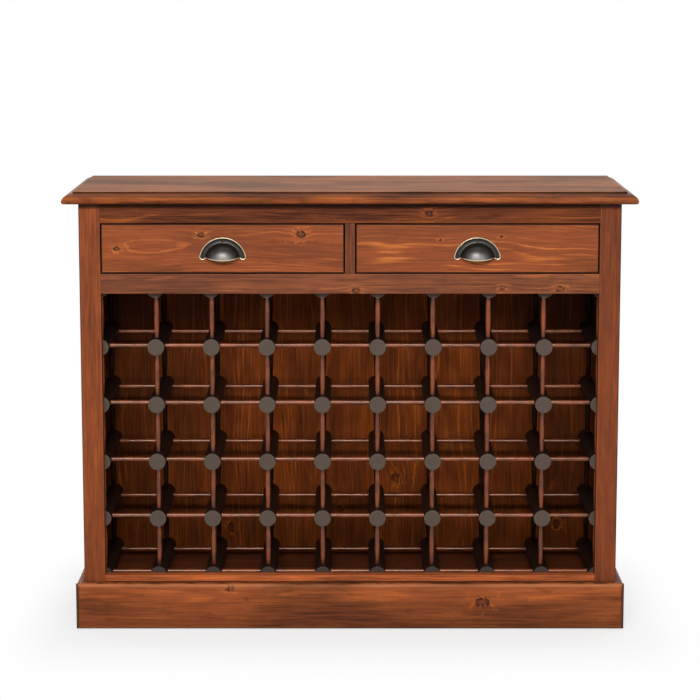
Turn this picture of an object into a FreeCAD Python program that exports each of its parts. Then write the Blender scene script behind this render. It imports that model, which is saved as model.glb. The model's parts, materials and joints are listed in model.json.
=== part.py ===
"""Wine cabinet: two drawers over an open bottle rack, built in stained pine like joiner's work.

The cabinet stands on the floor with its front towards -Y and +Z up. The origin is on the floor
under the middle of the bounding box. Lengths are in millimetres. The driving sizes are in the
sheet "dims". FORMULAS holds what follows from them, and every feature is bound to those names.
"""

import os
import re

import FreeCAD
import Part
import Sketcher

Vector = FreeCAD.Vector
Rotation = FreeCAD.Rotation

# Every size that can be set by itself: its name, its value and what it is.
SIZES = [
    ("columns", 9, "bottle cells across"),
    ("rows", 5, "bottle cells up"),
    ("column_pitch", 112.6, "rack dowel to dowel, across"),
    ("row_pitch", 118.6, "rack dowel to dowel, up"),
    ("dowel_diameter", 34, "thick dowels at the corners of the cells"),
    ("dowel_ease", 0.8, "chamfer on the dowel ends"),
    ("rod_diameter", 9.5, "level rods"),
    ("upright_end_diameter", 8.5, "turned uprights where they enter a dowel"),
    ("upright_swell_diameter", 11, "turned uprights at mid height"),
    ("rod_front_setback", 28, "front rods behind the dowels' front ends"),
    ("rod_rear_setback", 36, "rear rods before the dowels' rear ends"),
    ("rod_seat", 9, "how deep a rod sits in a dowel"),
    ("rod_end_gap", 0.4, "room left past the end of a rod"),
    ("rod_fit", 0.12, "room round a rod in its hole"),
    ("rack_side_gap", 2.3, "rack to side panel"),
    ("rack_rest_gap", 0.2, "rack to shelf and to dust panel"),
    ("rack_front_gap", 0.5, "rack to face frame"),
    ("rack_back_gap", 49.5, "rack to back boards"),
    ("carcass_depth", 320, "face frame front to back boards' rear face"),
    ("panel_thickness", 18, "side panels"),
    ("shelf_thickness", 18, "bottom shelf"),
    ("dust_thickness", 18, "panel under the drawers"),
    ("floor_space", 70, "floor to the underside of the bottom shelf"),
    ("housing_depth", 6, "grooves in the side panels that hold the shelves"),
    ("housing_fit", 0.15, "room round a shelf end in its groove"),
    ("frame_thickness", 20, "stiles and rails"),
    ("frame_ease", 1.2, "rounding of the frame's front edges"),
    ("stile_width", 43, "outer uprights of the face frame"),
    ("top_rail_height", 40.6, "rail over the drawers"),
    ("drawer_rail_height", 40.6, "rail under the drawers"),
    ("bottom_rail_height", 40, "rail under the rack"),
    ("muntin_width", 20.5, "upright between the drawers"),
    ("tenon_length", 20, "rail tenons"),
    ("tenon_thickness", 7, "all frame tenons"),
    ("tenon_shoulder", 6, "rail edge to tenon"),
    ("tenon_fit", 0.15, "room round a tenon in its mortise"),
    ("stub_length", 10, "muntin tenons"),
    ("stub_shoulder", 4, "muntin edge to tenon"),
    ("drawer_opening_height", 102, "clear height for the drawers"),
    ("top_thickness", 24, "top board"),
    ("front_overhang", 30, "top board past the face frame"),
    ("side_overhang", 31, "top board past the side panels"),
    ("back_overhang", 20, "top board past the back boards"),
    ("top_step_height", 3, "small step round the moulded edge"),
    ("top_step_inset", 21, "width of the moulded edge"),
    ("top_edge_round", 17, "round of the moulded edge"),
    ("top_under_round", 3, "round under the moulded edge"),
    ("plinth_height", 96, "plinth boards"),
    ("plinth_thickness", 17, "plinth boards"),
    ("plinth_top_round", 7, "round along the plinth's upper edge"),
    ("plinth_foot_round", 2.5, "round along the plinth's lower edge"),
    ("block_side", 34, "corner blocks under the shelf"),
    ("block_clear", 6, "corner blocks above the floor"),
    ("back_boards", 9, "number of back boards"),
    ("back_thickness", 10, "back boards"),
    ("back_floor_gap", 12, "back boards above the floor"),
    ("rebate_width", 10, "rebate in the side panels for the back"),
    ("board_end_gap", 0.5, "outer back boards to the rebates"),
    ("board_gap", 0.6, "open joint between back boards"),
    ("tongue_length", 5, "tongues of the back boards"),
    ("tongue_thickness", 3.4, "tongues of the back boards"),
    ("tongue_fit", 0.2, "room round a tongue in its groove"),
    ("back_rail_height", 50, "rail under the top board at the back"),
    ("back_rail_thickness", 18, "rail under the top board at the back"),
    ("guide_height", 40, "guides beside the drawers"),
    ("cleat_width", 42, "cleats that hold the top board"),
    ("cleat_height", 36, "cleats that hold the top board"),
    ("stop_height", 5, "drawer stops"),
    ("stop_width", 36, "drawer stops"),
    ("stop_depth", 18, "drawer stops"),
    ("stop_spread", 320, "stop to stop under one drawer"),
    ("stop_gap", 0.3, "drawer front to its stops"),
    ("drawer_gap", 1.8, "gap round a drawer front"),
    ("drawer_front_thickness", 20, "drawer fronts"),
    ("drawer_front_ease", 1.5, "rounding of the drawer fronts' edges"),
    ("drawer_side_thickness", 12, "drawer sides"),
    ("drawer_head_room", 14, "drawer sides lower than the opening"),
    ("drawer_side_gap", 2.2, "drawer side to its guide"),
    ("drawer_run_gap", 0.3, "drawer side above the dust panel"),
    ("drawer_rear_gap", 12, "drawer to back rail and back boards"),
    ("drawer_seat", 8, "drawer sides let into the front"),
    ("drawer_back_thickness", 12, "drawer backs"),
    ("drawer_back_seat", 5, "drawer backs let into the sides"),
    ("drawer_back_inset", 12, "drawer backs before the sides' rear ends"),
    ("drawer_back_drop", 6, "drawer backs below the sides' upper edge"),
    ("drawer_bottom_thickness", 6, "drawer bottoms"),
    ("drawer_bottom_lift", 11, "drawer bottoms above the sides' lower edge"),
    ("drawer_bottom_seat", 6, "drawer bottoms let into front and sides"),
    ("drawer_fit", 0.15, "room in the drawer joints"),
    ("flange_radius", 47.8, "outer arc of a handle's flange"),
    ("flange_thickness", 2.6, "handle flange"),
    ("lobe_radius", 6.5, "rounded lower ends of the flange"),
    ("lobe_height", 8.9, "lobe centres above the centre of the arc"),
    ("cup_half_width", 34.2, "handle cup, middle to side"),
    ("cup_depth", 26, "handle cup, outwards"),
    ("cup_rise", 29.5, "handle cup, rim to crown"),
    ("cup_rim_height", 7.4, "cup rim above the centre of the arc"),
    ("cup_lip_drop", 4.5, "front of the rim below its sides"),
    ("cup_wall", 2.4, "handle cup"),
    ("handle_screw_diameter", 3, "handle screws"),
    ("handle_screw_length", 15, "handle screws under the head"),
    ("handle_head_diameter", 6.4, "handle screw heads"),
    ("handle_head_height", 1.6, "handle screw heads"),
    ("screw_diameter", 4, "wood screws"),
    ("screw_length", 32, "wood screws with head"),
    ("screw_head_diameter", 8, "wood screws"),
    ("screw_head_height", 2.6, "wood screws"),
    ("screw_recess", 0.4, "heads below the surface"),
    ("screw_fit", 0.12, "room round a screw"),
    ("top_screw_length", 46, "screws through the cleats"),
    ("top_screw_start", 31, "first screw behind the face frame, last one before the cleat's end"),
    ("top_screw_count", 3, "screws in each cleat"),
]
SIZE = {name: value for name, value, _ in SIZES}

# Sizes and places that follow from the driving sizes.
FORMULAS = {
    "inside_width": "columns * column_pitch + dowel_diameter + 2 * rack_side_gap",
    "carcass_width": "inside_width + 2 * panel_thickness",
    "clear_width": "carcass_width - 2 * stile_width",
    "top_width": "carcass_width + 2 * side_overhang",
    "top_depth": "front_overhang + carcass_depth + back_overhang",
    "front_y": "front_overhang - top_depth / 2",
    "frame_back": "front_y + frame_thickness",
    "back_y": "front_y + carcass_depth",
    "back_face": "back_y - back_thickness",
    "inside_depth": "back_face - frame_back",
    "shelf_top": "floor_space + shelf_thickness",
    "bay_height": "rows * row_pitch + dowel_diameter + 2 * rack_rest_gap",
    "dust_under": "shelf_top + bay_height",
    "deck_top": "dust_under + dust_thickness",
    "opening_top": "deck_top + drawer_opening_height",
    "top_under": "opening_top + top_rail_height",
    "first_column": "-columns * column_pitch / 2",
    "first_row": "shelf_top + rack_rest_gap + dowel_diameter / 2",
    "rack_front": "frame_back + rack_front_gap",
    "dowel_length": "back_face - rack_back_gap - rack_front",
    "rear_plane": "dowel_length - rod_rear_setback",
    "rod_start": "dowel_diameter / 2 - rod_seat",
    "rod_length": "column_pitch - 2 * rod_start - 2 * rod_end_gap",
    "upright_length": "row_pitch - 2 * rod_start - 2 * rod_end_gap",
    "swell": "(upright_swell_diameter - upright_end_diameter) / 2",
    "swell_half": "upright_length / 2 - rod_seat",
    "run_depth": "back_face - back_rail_thickness - frame_back",
    "top_screw_spacing": "(run_depth - 2 * top_screw_start) / (top_screw_count - 1)",
    "guide_width": "(inside_width - clear_width) / 2",
    "board_pitch": "(inside_width + 2 * rebate_width - 2 * board_end_gap) / back_boards",
    "board_width": "board_pitch - board_gap",
    "first_board": "board_end_gap - inside_width / 2 - rebate_width",
    "groove_depth": "tongue_length - board_gap + tongue_fit",
    "screw_head": "screw_head_diameter / 2",
    "screw_shank": "screw_diameter / 2",
    "screw_face": "back_y - screw_recess",
    "low_screws": "floor_space + shelf_thickness / 2",
    "middle_screws": "dust_under + dust_thickness / 2",
    "high_screws": "top_under - back_rail_height / 2",
    "drawer_centre": "(clear_width + muntin_width) / 4",
    "opening_width": "(clear_width - muntin_width) / 2",
    "drawer_front_width": "opening_width - 2 * drawer_gap",
    "drawer_front_height": "drawer_opening_height - 2 * drawer_gap",
    "drawer_side_height": "drawer_opening_height - drawer_head_room",
    "drawer_base": "deck_top + drawer_run_gap",
    "drawer_start": "front_y + drawer_front_thickness - drawer_seat + drawer_fit",
    "drawer_end": "back_face - back_rail_thickness - drawer_rear_gap",
    "drawer_side_length": "drawer_end - drawer_start",
    "drawer_outer": "opening_width - 2 * drawer_side_gap",
    "drawer_inner": "drawer_outer - 2 * drawer_side_thickness",
    "drawer_back_y": "drawer_end - drawer_back_inset - drawer_back_thickness",
    "bottom_top": "drawer_base + drawer_bottom_lift + drawer_bottom_thickness",
    "bottom_start": "front_y + drawer_front_thickness - drawer_bottom_seat + drawer_fit",
    "arc_height": "deck_top + drawer_opening_height / 2"
    " - (flange_radius + lobe_height - lobe_radius) / 2",
    "screw_arc": "flange_radius - lobe_radius",
    "lobe_x": "sqrt(screw_arc * screw_arc - lobe_height * lobe_height)",
}

# Directions in which a cylinder or cone, drawn along +Z, can be turned.
UP = Rotation()
ALONG_X = Rotation(Vector(0, 1, 0), 90)
INWARD = Rotation(Vector(1, 0, 0), -90)
OUTWARD = Rotation(Vector(1, 0, 0), 90)

doc = FreeCAD.newDocument("wine_cabinet")
sheet = doc.addObject("Spreadsheet::Sheet", "dims")
for line, (alias, number, meaning) in enumerate(SIZES, start=1):
    sheet.set(f"A{line}", meaning)
    sheet.set(f"B{line}", str(number))
    sheet.setAlias(f"B{line}", alias)
doc.recompute()

nodes = []


def formula(text):
    """Spell a formula in named sizes as an expression on the sheet."""

    def spell(match):
        word = match.group(0)
        if word in FORMULAS:
            return "(" + formula(FORMULAS[word]) + ")"
        return "dims." + word if word in SIZE else word

    return re.sub(r"[a-z_]+", spell, text)


def bind(thing, prop, text):
    """Bind one property of an object to a formula."""
    thing.setExpression(prop, formula(text))


def place(thing, at):
    """Bind the position of a body or of a feature in its body."""
    for axis, text in zip("xyz", at):
        bind(thing, f"Placement.Base.{axis}", text)


def new_body(label, at=("0", "0", "0")):
    """One node of the cabinet. Groups of equal pieces are several solids in one body."""
    body = doc.addObject("PartDesign::Body", label)
    body.Label = label
    body.AllowCompound = True
    place(body, at)
    nodes.append(body)
    return body


def block(body, kind, name, size, at):
    """Add ("Additive") or cut ("Subtractive") a box by its lower left front corner."""
    feature = body.newObject(f"PartDesign::{kind}Box", f"{body.Name}_{name}")
    for prop, text in zip(("Length", "Width", "Height"), size):
        bind(feature, prop, text)
    place(feature, at)
    return feature


def round_bar(body, kind, name, radius, length, at, turn):
    """Add or cut a cylinder from the middle of one end, in the direction of the turn."""
    feature = body.newObject(f"PartDesign::{kind}Cylinder", f"{body.Name}_{name}")
    feature.Placement = FreeCAD.Placement(Vector(), turn)
    bind(feature, "Radius", radius)
    bind(feature, "Height", length)
    place(feature, at)
    return feature


def taper(body, kind, name, radii, length, at, turn):
    """Add or cut a cone, as for a countersunk screw head."""
    feature = body.newObject(f"PartDesign::{kind}Cone", f"{body.Name}_{name}")
    feature.Placement = FreeCAD.Placement(Vector(), turn)
    bind(feature, "Radius1", radii[0])
    bind(feature, "Radius2", radii[1])
    bind(feature, "Height", length)
    place(feature, at)
    return feature


def origin_part(body, role):
    """One of the body's own origin planes or axes."""
    return [part for part in body.Origin.OriginFeatures if part.Role == role][0]


def repeat(body, feature, axis, spacing, count, second=None):
    """Repeat a feature at equal spacing along one axis, or also along a second one."""
    pattern = body.newObject("PartDesign::LinearPattern", f"{feature.Name}_repeat")
    pattern.Originals = [feature]
    pattern.Direction = (origin_part(body, axis), [""])
    pattern.Mode = "Extent"
    bind(pattern, "Length", f"({spacing}) * ({count} - 1)")
    bind(pattern, "Occurrences", count)
    if second:
        axis, spacing, count = second
        pattern.Direction2 = (origin_part(body, axis), [""])
        pattern.Mode2 = "Extent"
        bind(pattern, "Length2", f"({spacing}) * ({count} - 1)")
        bind(pattern, "Occurrences2", count)
    body.Tip = pattern
    return pattern


def new_sketch(body, name, plane):
    """A sketch on one of the body's own origin planes."""
    sketch = body.newObject("Sketcher::SketchObject", f"{body.Name}_{name}")
    sketch.AttachmentSupport = (origin_part(body, plane), [""])
    sketch.MapMode = "FlatFace"
    return sketch


def rules(sketch, pairs):
    """Add sketch constraints together, and bind the value of each one that has a formula."""
    indexes = sketch.addConstraint([constraint for constraint, _ in pairs])
    for index, (_, text) in zip(indexes, pairs):
        if text:
            bind(sketch, f"Constraints[{index}]", text)


def fix_point(geometry, point, rough, x, y):
    """Constraints that hold one point of a sketch at two formulas from the origin."""
    return [
        (Sketcher.Constraint("DistanceX", -1, 1, geometry, point, rough[0]), x),
        (Sketcher.Constraint("DistanceY", -1, 1, geometry, point, rough[1]), y),
    ]


def polygon(sketch, corners):
    """A closed outline. Each corner is a rough first place and the formulas that fix it."""
    count = len(corners)
    places = [Vector(*rough, 0) for rough, _, _ in corners]
    lines = [Part.LineSegment(places[i], places[(i + 1) % count]) for i in range(count)]
    sketch.addGeometry(lines)
    pairs = []
    for index, (rough, x, y) in enumerate(corners):
        following = (index + 1) % count
        pairs.append((Sketcher.Constraint("Coincident", index, 2, following, 1), None))
        pairs += fix_point(index, 1, rough, x, y)
    rules(sketch, pairs)


def circles(sketch, places, radius):
    """Equal circles. Each is a rough first place and the formulas that fix its centre."""
    up = Vector(0, 0, 1)
    sketch.addGeometry([Part.Circle(Vector(*rough, 0), up, 5) for rough, _, _ in places])
    pairs = [(Sketcher.Constraint("Radius", 0, 5), radius)]
    for index, (rough, x, y) in enumerate(places):
        pairs += fix_point(index, 3, rough, x, y)
        if index > 0:
            pairs.append((Sketcher.Constraint("Equal", 0, index), None))
    rules(sketch, pairs)


def extrude(body, kind, sketch, length, back=False):
    """Pad or pocket a sketch over a length, or to both sides where length is None."""
    feature = body.newObject(f"PartDesign::{kind}", f"{sketch.Name}_{kind.lower()}")
    feature.Profile = sketch
    feature.Reversed = back
    if length is None:
        feature.Type = "ThroughAll"
        feature.Midplane = True
    else:
        bind(feature, "Length", length)
    body.Tip = feature
    return feature


def turned_screw(body, name, plane, sign, length):
    """A countersunk screw, turned from its profile, from the middle of its head."""
    profile = new_sketch(body, name, plane)
    polygon(
        profile,
        (
            ((0, 0), "0", "0"),
            ((4, 0), "screw_head", "0"),
            ((2, sign * 3), "screw_shank", f"{sign} * screw_head_height"),
            ((2, sign * 30), "screw_shank", f"{sign} * ({length})"),
            ((0, sign * 30), "0", f"{sign} * ({length})"),
        ),
    )
    screw = body.newObject("PartDesign::Revolution", f"{body.Name}_{name}_turned")
    screw.Profile = profile
    screw.ReferenceAxis = (profile, ["V_Axis"])
    screw.Angle = 360
    return profile, screw


def runs(edge, axis):
    """True for a straight edge along the axis (0, 1 or 2)."""
    travel = edge.Vertexes[-1].Point - edge.Vertexes[0].Point
    return travel.Length > 0 and abs(travel[axis]) > 0.999 * travel.Length


def lies(edge, axis, level):
    """True for an edge whose ends are both at this level of the axis."""
    return all(abs(vertex.Point[axis] - level) < 0.001 for vertex in edge.Vertexes)


def dress(body, kind, prop, size, wanted):
    """Fillet or chamfer the edges that wanted(edge, bounds) picks on the finished body."""
    doc.recompute()
    tip = body.Tip
    bounds = tip.Shape.BoundBox
    edges = [f"Edge{i}" for i, e in enumerate(tip.Shape.Edges, start=1) if wanted(e, bounds)]
    feature = body.newObject(f"PartDesign::{kind}", f"{tip.Name}_{kind.lower()}")
    feature.Base = (tip, edges)
    bind(feature, prop, size)
    body.Tip = feature
    return feature


# The top board: a step and a quarter round are worked along the front and both ends.
top = new_body("top_board", ("-top_width / 2", "-top_depth / 2", "top_under"))
block(top, "Additive", "blank", ("top_width", "top_depth", "top_thickness"), ("0", "0", "0"))
step_z = "top_thickness - top_step_height"
step_tall = "top_step_height + 1"
block(top, "Subtractive", "step_front", ("top_width", "top_step_inset", step_tall), ("0", "0", step_z))
block(top, "Subtractive", "step_left", ("top_step_inset", "top_depth", step_tall), ("0", "0", step_z))
block(
    top,
    "Subtractive",
    "step_right",
    ("top_step_inset", "top_depth", step_tall),
    ("top_width - top_step_inset", "0", step_z),
)
for number, side in enumerate(("-1", "1"), start=1):
    holes = round_bar(
        top,
        "Subtractive",
        f"screw_holes_{number}",
        "screw_shank + screw_fit",
        "top_screw_length - cleat_height + 1",
        (
            f"top_width / 2 + {side} * (inside_width / 2 - cleat_width / 2)",
            "frame_back + top_depth / 2 + top_screw_start",
            "0",
        ),
        UP,
    )
    repeat(top, holes, "Y_Axis", "top_screw_spacing", "top_screw_count")


def moulded(edge, bounds, low):
    """Outer edges of the front and both ends, the lower ones or those at the step."""
    outer_front = runs(edge, 0) and lies(edge, 1, bounds.YMin)
    outer_end = runs(edge, 1) and (lies(edge, 0, bounds.XMin) or lies(edge, 0, bounds.XMax))
    at_bottom = lies(edge, 2, bounds.ZMin)
    return (outer_front or outer_end) and at_bottom == low


round_limit = "top_thickness - top_step_height - top_under_round - 0.5"
dress(
    top,
    "Fillet",
    "Radius",
    f"min(top_edge_round; {round_limit}; top_step_inset - 0.5)",
    lambda edge, bounds: moulded(edge, bounds, False),
)
dress(top, "Fillet", "Radius", "top_under_round", lambda edge, bounds: moulded(edge, bounds, True))

# Side panels: two grooves hold the shelf and the dust panel, a rebate takes the back boards.
for label, start, groove_x, rebate_x in (
    (
        "left_side_panel",
        "-carcass_width / 2",
        "panel_thickness - housing_depth",
        "panel_thickness - rebate_width",
    ),
    ("right_side_panel", "inside_width / 2", "-1", "-1"),
):
    panel = new_body(label, (start, "frame_back", "0"))
    panel_depth = "back_y - frame_back"
    block(panel, "Additive", "blank", ("panel_thickness", panel_depth, "top_under"), ("0", "0", "0"))
    for name, low, thickness in (
        ("shelf_groove", "floor_space", "shelf_thickness"),
        ("dust_groove", "dust_under", "dust_thickness"),
    ):
        block(
            panel,
            "Subtractive",
            name,
            ("housing_depth + 1", "inside_depth", f"{thickness} + 2 * housing_fit"),
            (groove_x, "0", f"{low} - housing_fit"),
        )
    block(
        panel,
        "Subtractive",
        "back_rebate",
        ("rebate_width + 1", "back_thickness + 1", "top_under"),
        (rebate_x, "inside_depth", "0"),
    )

# The bottom shelf and the dust panel are let into the grooves of the side panels.
shelf_length = "inside_width + 2 * housing_depth - 2 * housing_fit"
for label, low, thickness in (
    ("bottom_shelf", "floor_space", "shelf_thickness"),
    ("dust_panel", "dust_under", "dust_thickness"),
):
    shelf = new_body(label, (f"-({shelf_length}) / 2", "frame_back", low))
    block(shelf, "Additive", "blank", (shelf_length, "inside_depth", thickness), ("0", "0", "0"))
    pilot = round_bar(
        shelf,
        "Subtractive",
        "screw_holes",
        "screw_shank + screw_fit",
        "screw_length - back_thickness + 2",
        (
            f"first_board + board_width / 2 + ({shelf_length}) / 2",
            "inside_depth",
            f"{thickness} / 2",
        ),
        OUTWARD,
    )
    repeat(shelf, pilot, "X_Axis", "board_pitch", "back_boards")

# The face frame: three rails and a muntin, tenoned into the stiles and into each other.
RAILS = (
    ("top_rail", "opening_top", "top_rail_height"),
    ("drawer_rail", "deck_top - drawer_rail_height", "drawer_rail_height"),
    ("bottom_rail", "floor_space", "bottom_rail_height"),
)
tenon_y = "(frame_thickness - tenon_thickness) / 2"
stub_width = "muntin_width - 2 * stub_shoulder"
for label, low, height in RAILS:
    rail = new_body(label, ("-clear_width / 2", "front_y", low))
    block(rail, "Additive", "blank", ("clear_width", "frame_thickness", height), ("0", "0", "0"))
    for name, start in (("left_tenon", "-tenon_length"), ("right_tenon", "clear_width - 1")):
        block(
            rail,
            "Additive",
            name,
            ("tenon_length + 1", "tenon_thickness", f"{height} - 2 * tenon_shoulder"),
            (start, tenon_y, "tenon_shoulder"),
        )
    if label != "bottom_rail":
        mortise_z = "-1" if label == "top_rail" else "drawer_rail_height - stub_length - tenon_fit"
        block(
            rail,
            "Subtractive",
            "muntin_mortise",
            (
                f"{stub_width} + 2 * tenon_fit",
                "tenon_thickness + 2 * tenon_fit",
                "stub_length + tenon_fit + 1",
            ),
            (
                f"clear_width / 2 - ({stub_width}) / 2 - tenon_fit",
                f"{tenon_y} - tenon_fit",
                mortise_z,
            ),
        )
    dress(
        rail,
        "Fillet",
        "Radius",
        "frame_ease",
        lambda edge, bounds: runs(edge, 0) and lies(edge, 1, bounds.YMin),
    )

for label, start, mortise_x in (
    ("left_stile", "-carcass_width / 2", "stile_width - tenon_length - tenon_fit"),
    ("right_stile", "clear_width / 2", "-1"),
):
    stile = new_body(label, (start, "front_y", "0"))
    block(stile, "Additive", "blank", ("stile_width", "frame_thickness", "top_under"), ("0", "0", "0"))
    for name, low, height in RAILS:
        block(
            stile,
            "Subtractive",
            f"{name}_mortise",
            (
                "tenon_length + tenon_fit + 1",
                "tenon_thickness + 2 * tenon_fit",
                f"{height} - 2 * tenon_shoulder + 2 * tenon_fit",
            ),
            (mortise_x, f"{tenon_y} - tenon_fit", f"{low} + tenon_shoulder - tenon_fit"),
        )
    dress(
        stile,
        "Fillet",
        "Radius",
        "frame_ease",
        lambda edge, bounds: runs(edge, 2) and lies(edge, 1, bounds.YMin),
    )

muntin = new_body("drawer_muntin", ("-muntin_width / 2", "front_y", "deck_top"))
block(
    muntin,
    "Additive",
    "blank",
    ("muntin_width", "frame_thickness", "drawer_opening_height"),
    ("0", "0", "0"),
)
for name, low in (("lower_tenon", "-stub_length"), ("upper_tenon", "drawer_opening_height - 1")):
    block(
        muntin,
        "Additive",
        name,
        (stub_width, "tenon_thickness", "stub_length + 1"),
        ("stub_shoulder", tenon_y, low),
    )
dress(
    muntin,
    "Fillet",
    "Radius",
    "frame_ease",
    lambda edge, bounds: runs(edge, 2) and lies(edge, 1, bounds.YMin),
)

# The plinth: three boards mitred at the front corners, with a round worked along the top.
PLINTH = (
    (
        "plinth_front",
        ("0", "front_y", "0"),
        (
            ((-560, -17), "-carcass_width / 2 - plinth_thickness", "-plinth_thickness"),
            ((560, -17), "carcass_width / 2 + plinth_thickness", "-plinth_thickness"),
            ((544, 0), "carcass_width / 2", "0"),
            ((-544, 0), "-carcass_width / 2", "0"),
        ),
        lambda edge, bounds: runs(edge, 0) and lies(edge, 1, bounds.YMin),
    ),
    (
        "plinth_left",
        ("-carcass_width / 2", "front_y", "0"),
        (
            ((-17, -17), "-plinth_thickness", "-plinth_thickness"),
            ((0, 0), "0", "0"),
            ((0, 320), "0", "carcass_depth"),
            ((-17, 320), "-plinth_thickness", "carcass_depth"),
        ),
        lambda edge, bounds: runs(edge, 1) and lies(edge, 0, bounds.XMin),
    ),
    (
        "plinth_right",
        ("carcass_width / 2", "front_y", "0"),
        (
            ((17, -17), "plinth_thickness", "-plinth_thickness"),
            ((17, 320), "plinth_thickness", "carcass_depth"),
            ((0, 320), "0", "carcass_depth"),
            ((0, 0), "0", "0"),
        ),
        lambda edge, bounds: runs(edge, 1) and lies(edge, 0, bounds.XMax),
    ),
)


def upper(pick):
    """The picked edges that lie at the top of the body."""
    return lambda edge, bounds: pick(edge, bounds) and lies(edge, 2, bounds.ZMax)


def lower(pick):
    """The picked edges that lie at the foot of the body."""
    return lambda edge, bounds: pick(edge, bounds) and lies(edge, 2, bounds.ZMin)


for label, at, corners, outer in PLINTH:
    plinth = new_body(label, at)
    plan = new_sketch(plinth, "plan", "XY_Plane")
    polygon(plan, corners)
    extrude(plinth, "Pad", plan, "plinth_height")
    dress(plinth, "Fillet", "Radius", "min(plinth_top_round; plinth_thickness - 1)", upper(outer))
    dress(plinth, "Fillet", "Radius", "plinth_foot_round", lower(outer))

blocks = new_body("base_corner_blocks")
block_size = ("block_side", "block_side", "floor_space - block_clear")
for name, x, y in (
    ("front_left", "-inside_width / 2", "frame_back"),
    ("front_right", "inside_width / 2 - block_side", "frame_back"),
    ("rear_left", "-inside_width / 2", "back_face - block_side"),
    ("rear_right", "inside_width / 2 - block_side", "back_face - block_side"),
):
    block(blocks, "Additive", name, block_size, (x, y, "block_clear"))

# The back: tongued and grooved boards, screwed to both shelves and to a rail under the top.
SCREW_ROWS = (("low", "low_screws"), ("middle", "middle_screws"), ("high", "high_screws"))
for number in range(1, SIZE["back_boards"] + 1):
    label = f"back_board_{number}"
    start = f"first_board + {number - 1} * board_pitch"
    plank = new_body(label, (start, "back_face", "back_floor_gap"))
    tall = "top_under - back_floor_gap"
    block(plank, "Additive", "blank", ("board_width", "back_thickness", tall), ("0", "0", "0"))
    if number < SIZE["back_boards"]:
        block(
            plank,
            "Additive",
            "tongue",
            ("tongue_length + 1", "tongue_thickness", tall),
            ("board_width - 1", "(back_thickness - tongue_thickness) / 2", "0"),
        )
    if number > 1:
        block(
            plank,
            "Subtractive",
            "groove",
            ("groove_depth + 1", "tongue_thickness + 2 * tongue_fit", f"{tall} + 2"),
            ("-1", "(back_thickness - tongue_thickness) / 2 - tongue_fit", "-1"),
        )
    for name, height in SCREW_ROWS:
        hole_at = ("board_width / 2", "back_thickness + 1", f"{height} - back_floor_gap")
        round_bar(
            plank,
            "Subtractive",
            f"{name}_hole",
            "screw_shank + screw_fit",
            "back_thickness + 2",
            hole_at,
            OUTWARD,
        )
        taper(
            plank,
            "Subtractive",
            f"{name}_sink",
            ("screw_head + screw_fit", "screw_shank + screw_fit"),
            "screw_head_height",
            ("board_width / 2", "back_thickness - screw_recess", f"{height} - back_floor_gap"),
            OUTWARD,
        )
        round_bar(
            plank,
            "Subtractive",
            f"{name}_recess",
            "screw_head + screw_fit",
            "screw_recess + 1",
            ("board_width / 2", "back_thickness + 1", f"{height} - back_floor_gap"),
            OUTWARD,
        )

back_rail = new_body(
    "top_back_rail",
    ("-inside_width / 2", "back_face - back_rail_thickness", "top_under - back_rail_height"),
)
block(
    back_rail,
    "Additive",
    "blank",
    ("inside_width", "back_rail_thickness", "back_rail_height"),
    ("0", "0", "0"),
)
pilot = round_bar(
    back_rail,
    "Subtractive",
    "screw_holes",
    "screw_shank + screw_fit",
    "back_rail_thickness + 2",
    (
        "first_board + board_width / 2 + inside_width / 2",
        "back_rail_thickness + 1",
        "back_rail_height / 2",
    ),
    OUTWARD,
)
repeat(back_rail, pilot, "X_Axis", "board_pitch", "back_boards")

screws = new_body("back_board_screws", ("first_board + board_width / 2", "screw_face", "0"))
for name, height in SCREW_ROWS:
    reach = "screw_length" if name != "high" else "back_thickness + back_rail_thickness - 1"
    profile, screw = turned_screw(screws, f"{name}_profile", "XY_Plane", -1, reach)
    bind(profile, "AttachmentOffset.Base.z", height)
    repeat(screws, screw, "X_Axis", "board_pitch", "back_boards")

# Inside the drawer bay: a partition, a guide on each side, cleats under the top and stops.
partition = new_body("drawer_partition", ("-muntin_width / 2", "frame_back", "deck_top"))
block(
    partition,
    "Additive",
    "blank",
    ("muntin_width", "run_depth", "top_under - deck_top"),
    ("0", "0", "0"),
)
for side, guide_x, cleat_x in (
    ("left", "-inside_width / 2", "-inside_width / 2"),
    ("right", "clear_width / 2", "inside_width / 2 - cleat_width"),
):
    guide = new_body(f"{side}_drawer_guide", (guide_x, "frame_back", "deck_top"))
    block(guide, "Additive", "blank", ("guide_width", "run_depth", "guide_height"), ("0", "0", "0"))
    cleat = new_body(f"{side}_top_cleat", (cleat_x, "frame_back", "top_under - cleat_height"))
    block(cleat, "Additive", "blank", ("cleat_width", "run_depth", "cleat_height"), ("0", "0", "0"))
    hole = round_bar(
        cleat,
        "Subtractive",
        "screw_holes",
        "screw_shank + screw_fit",
        "cleat_height + 2",
        ("cleat_width / 2", "top_screw_start", "-1"),
        UP,
    )
    repeat(cleat, hole, "Y_Axis", "top_screw_spacing", "top_screw_count")
    sink = taper(
        cleat,
        "Subtractive",
        "screw_sinks",
        ("screw_head + screw_fit", "screw_shank + screw_fit"),
        "screw_head_height",
        ("cleat_width / 2", "top_screw_start", "0"),
        UP,
    )
    repeat(cleat, sink, "Y_Axis", "top_screw_spacing", "top_screw_count")

top_screws = new_body(
    "top_screws",
    (
        "cleat_width / 2 - inside_width / 2",
        "frame_back + top_screw_start",
        "top_under - cleat_height",
    ),
)
_, screw = turned_screw(top_screws, "profile", "XZ_Plane", 1, "top_screw_length")
repeat(
    top_screws,
    screw,
    "X_Axis",
    "inside_width - cleat_width",
    "2",
    ("Y_Axis", "top_screw_spacing", "top_screw_count"),
)

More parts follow.
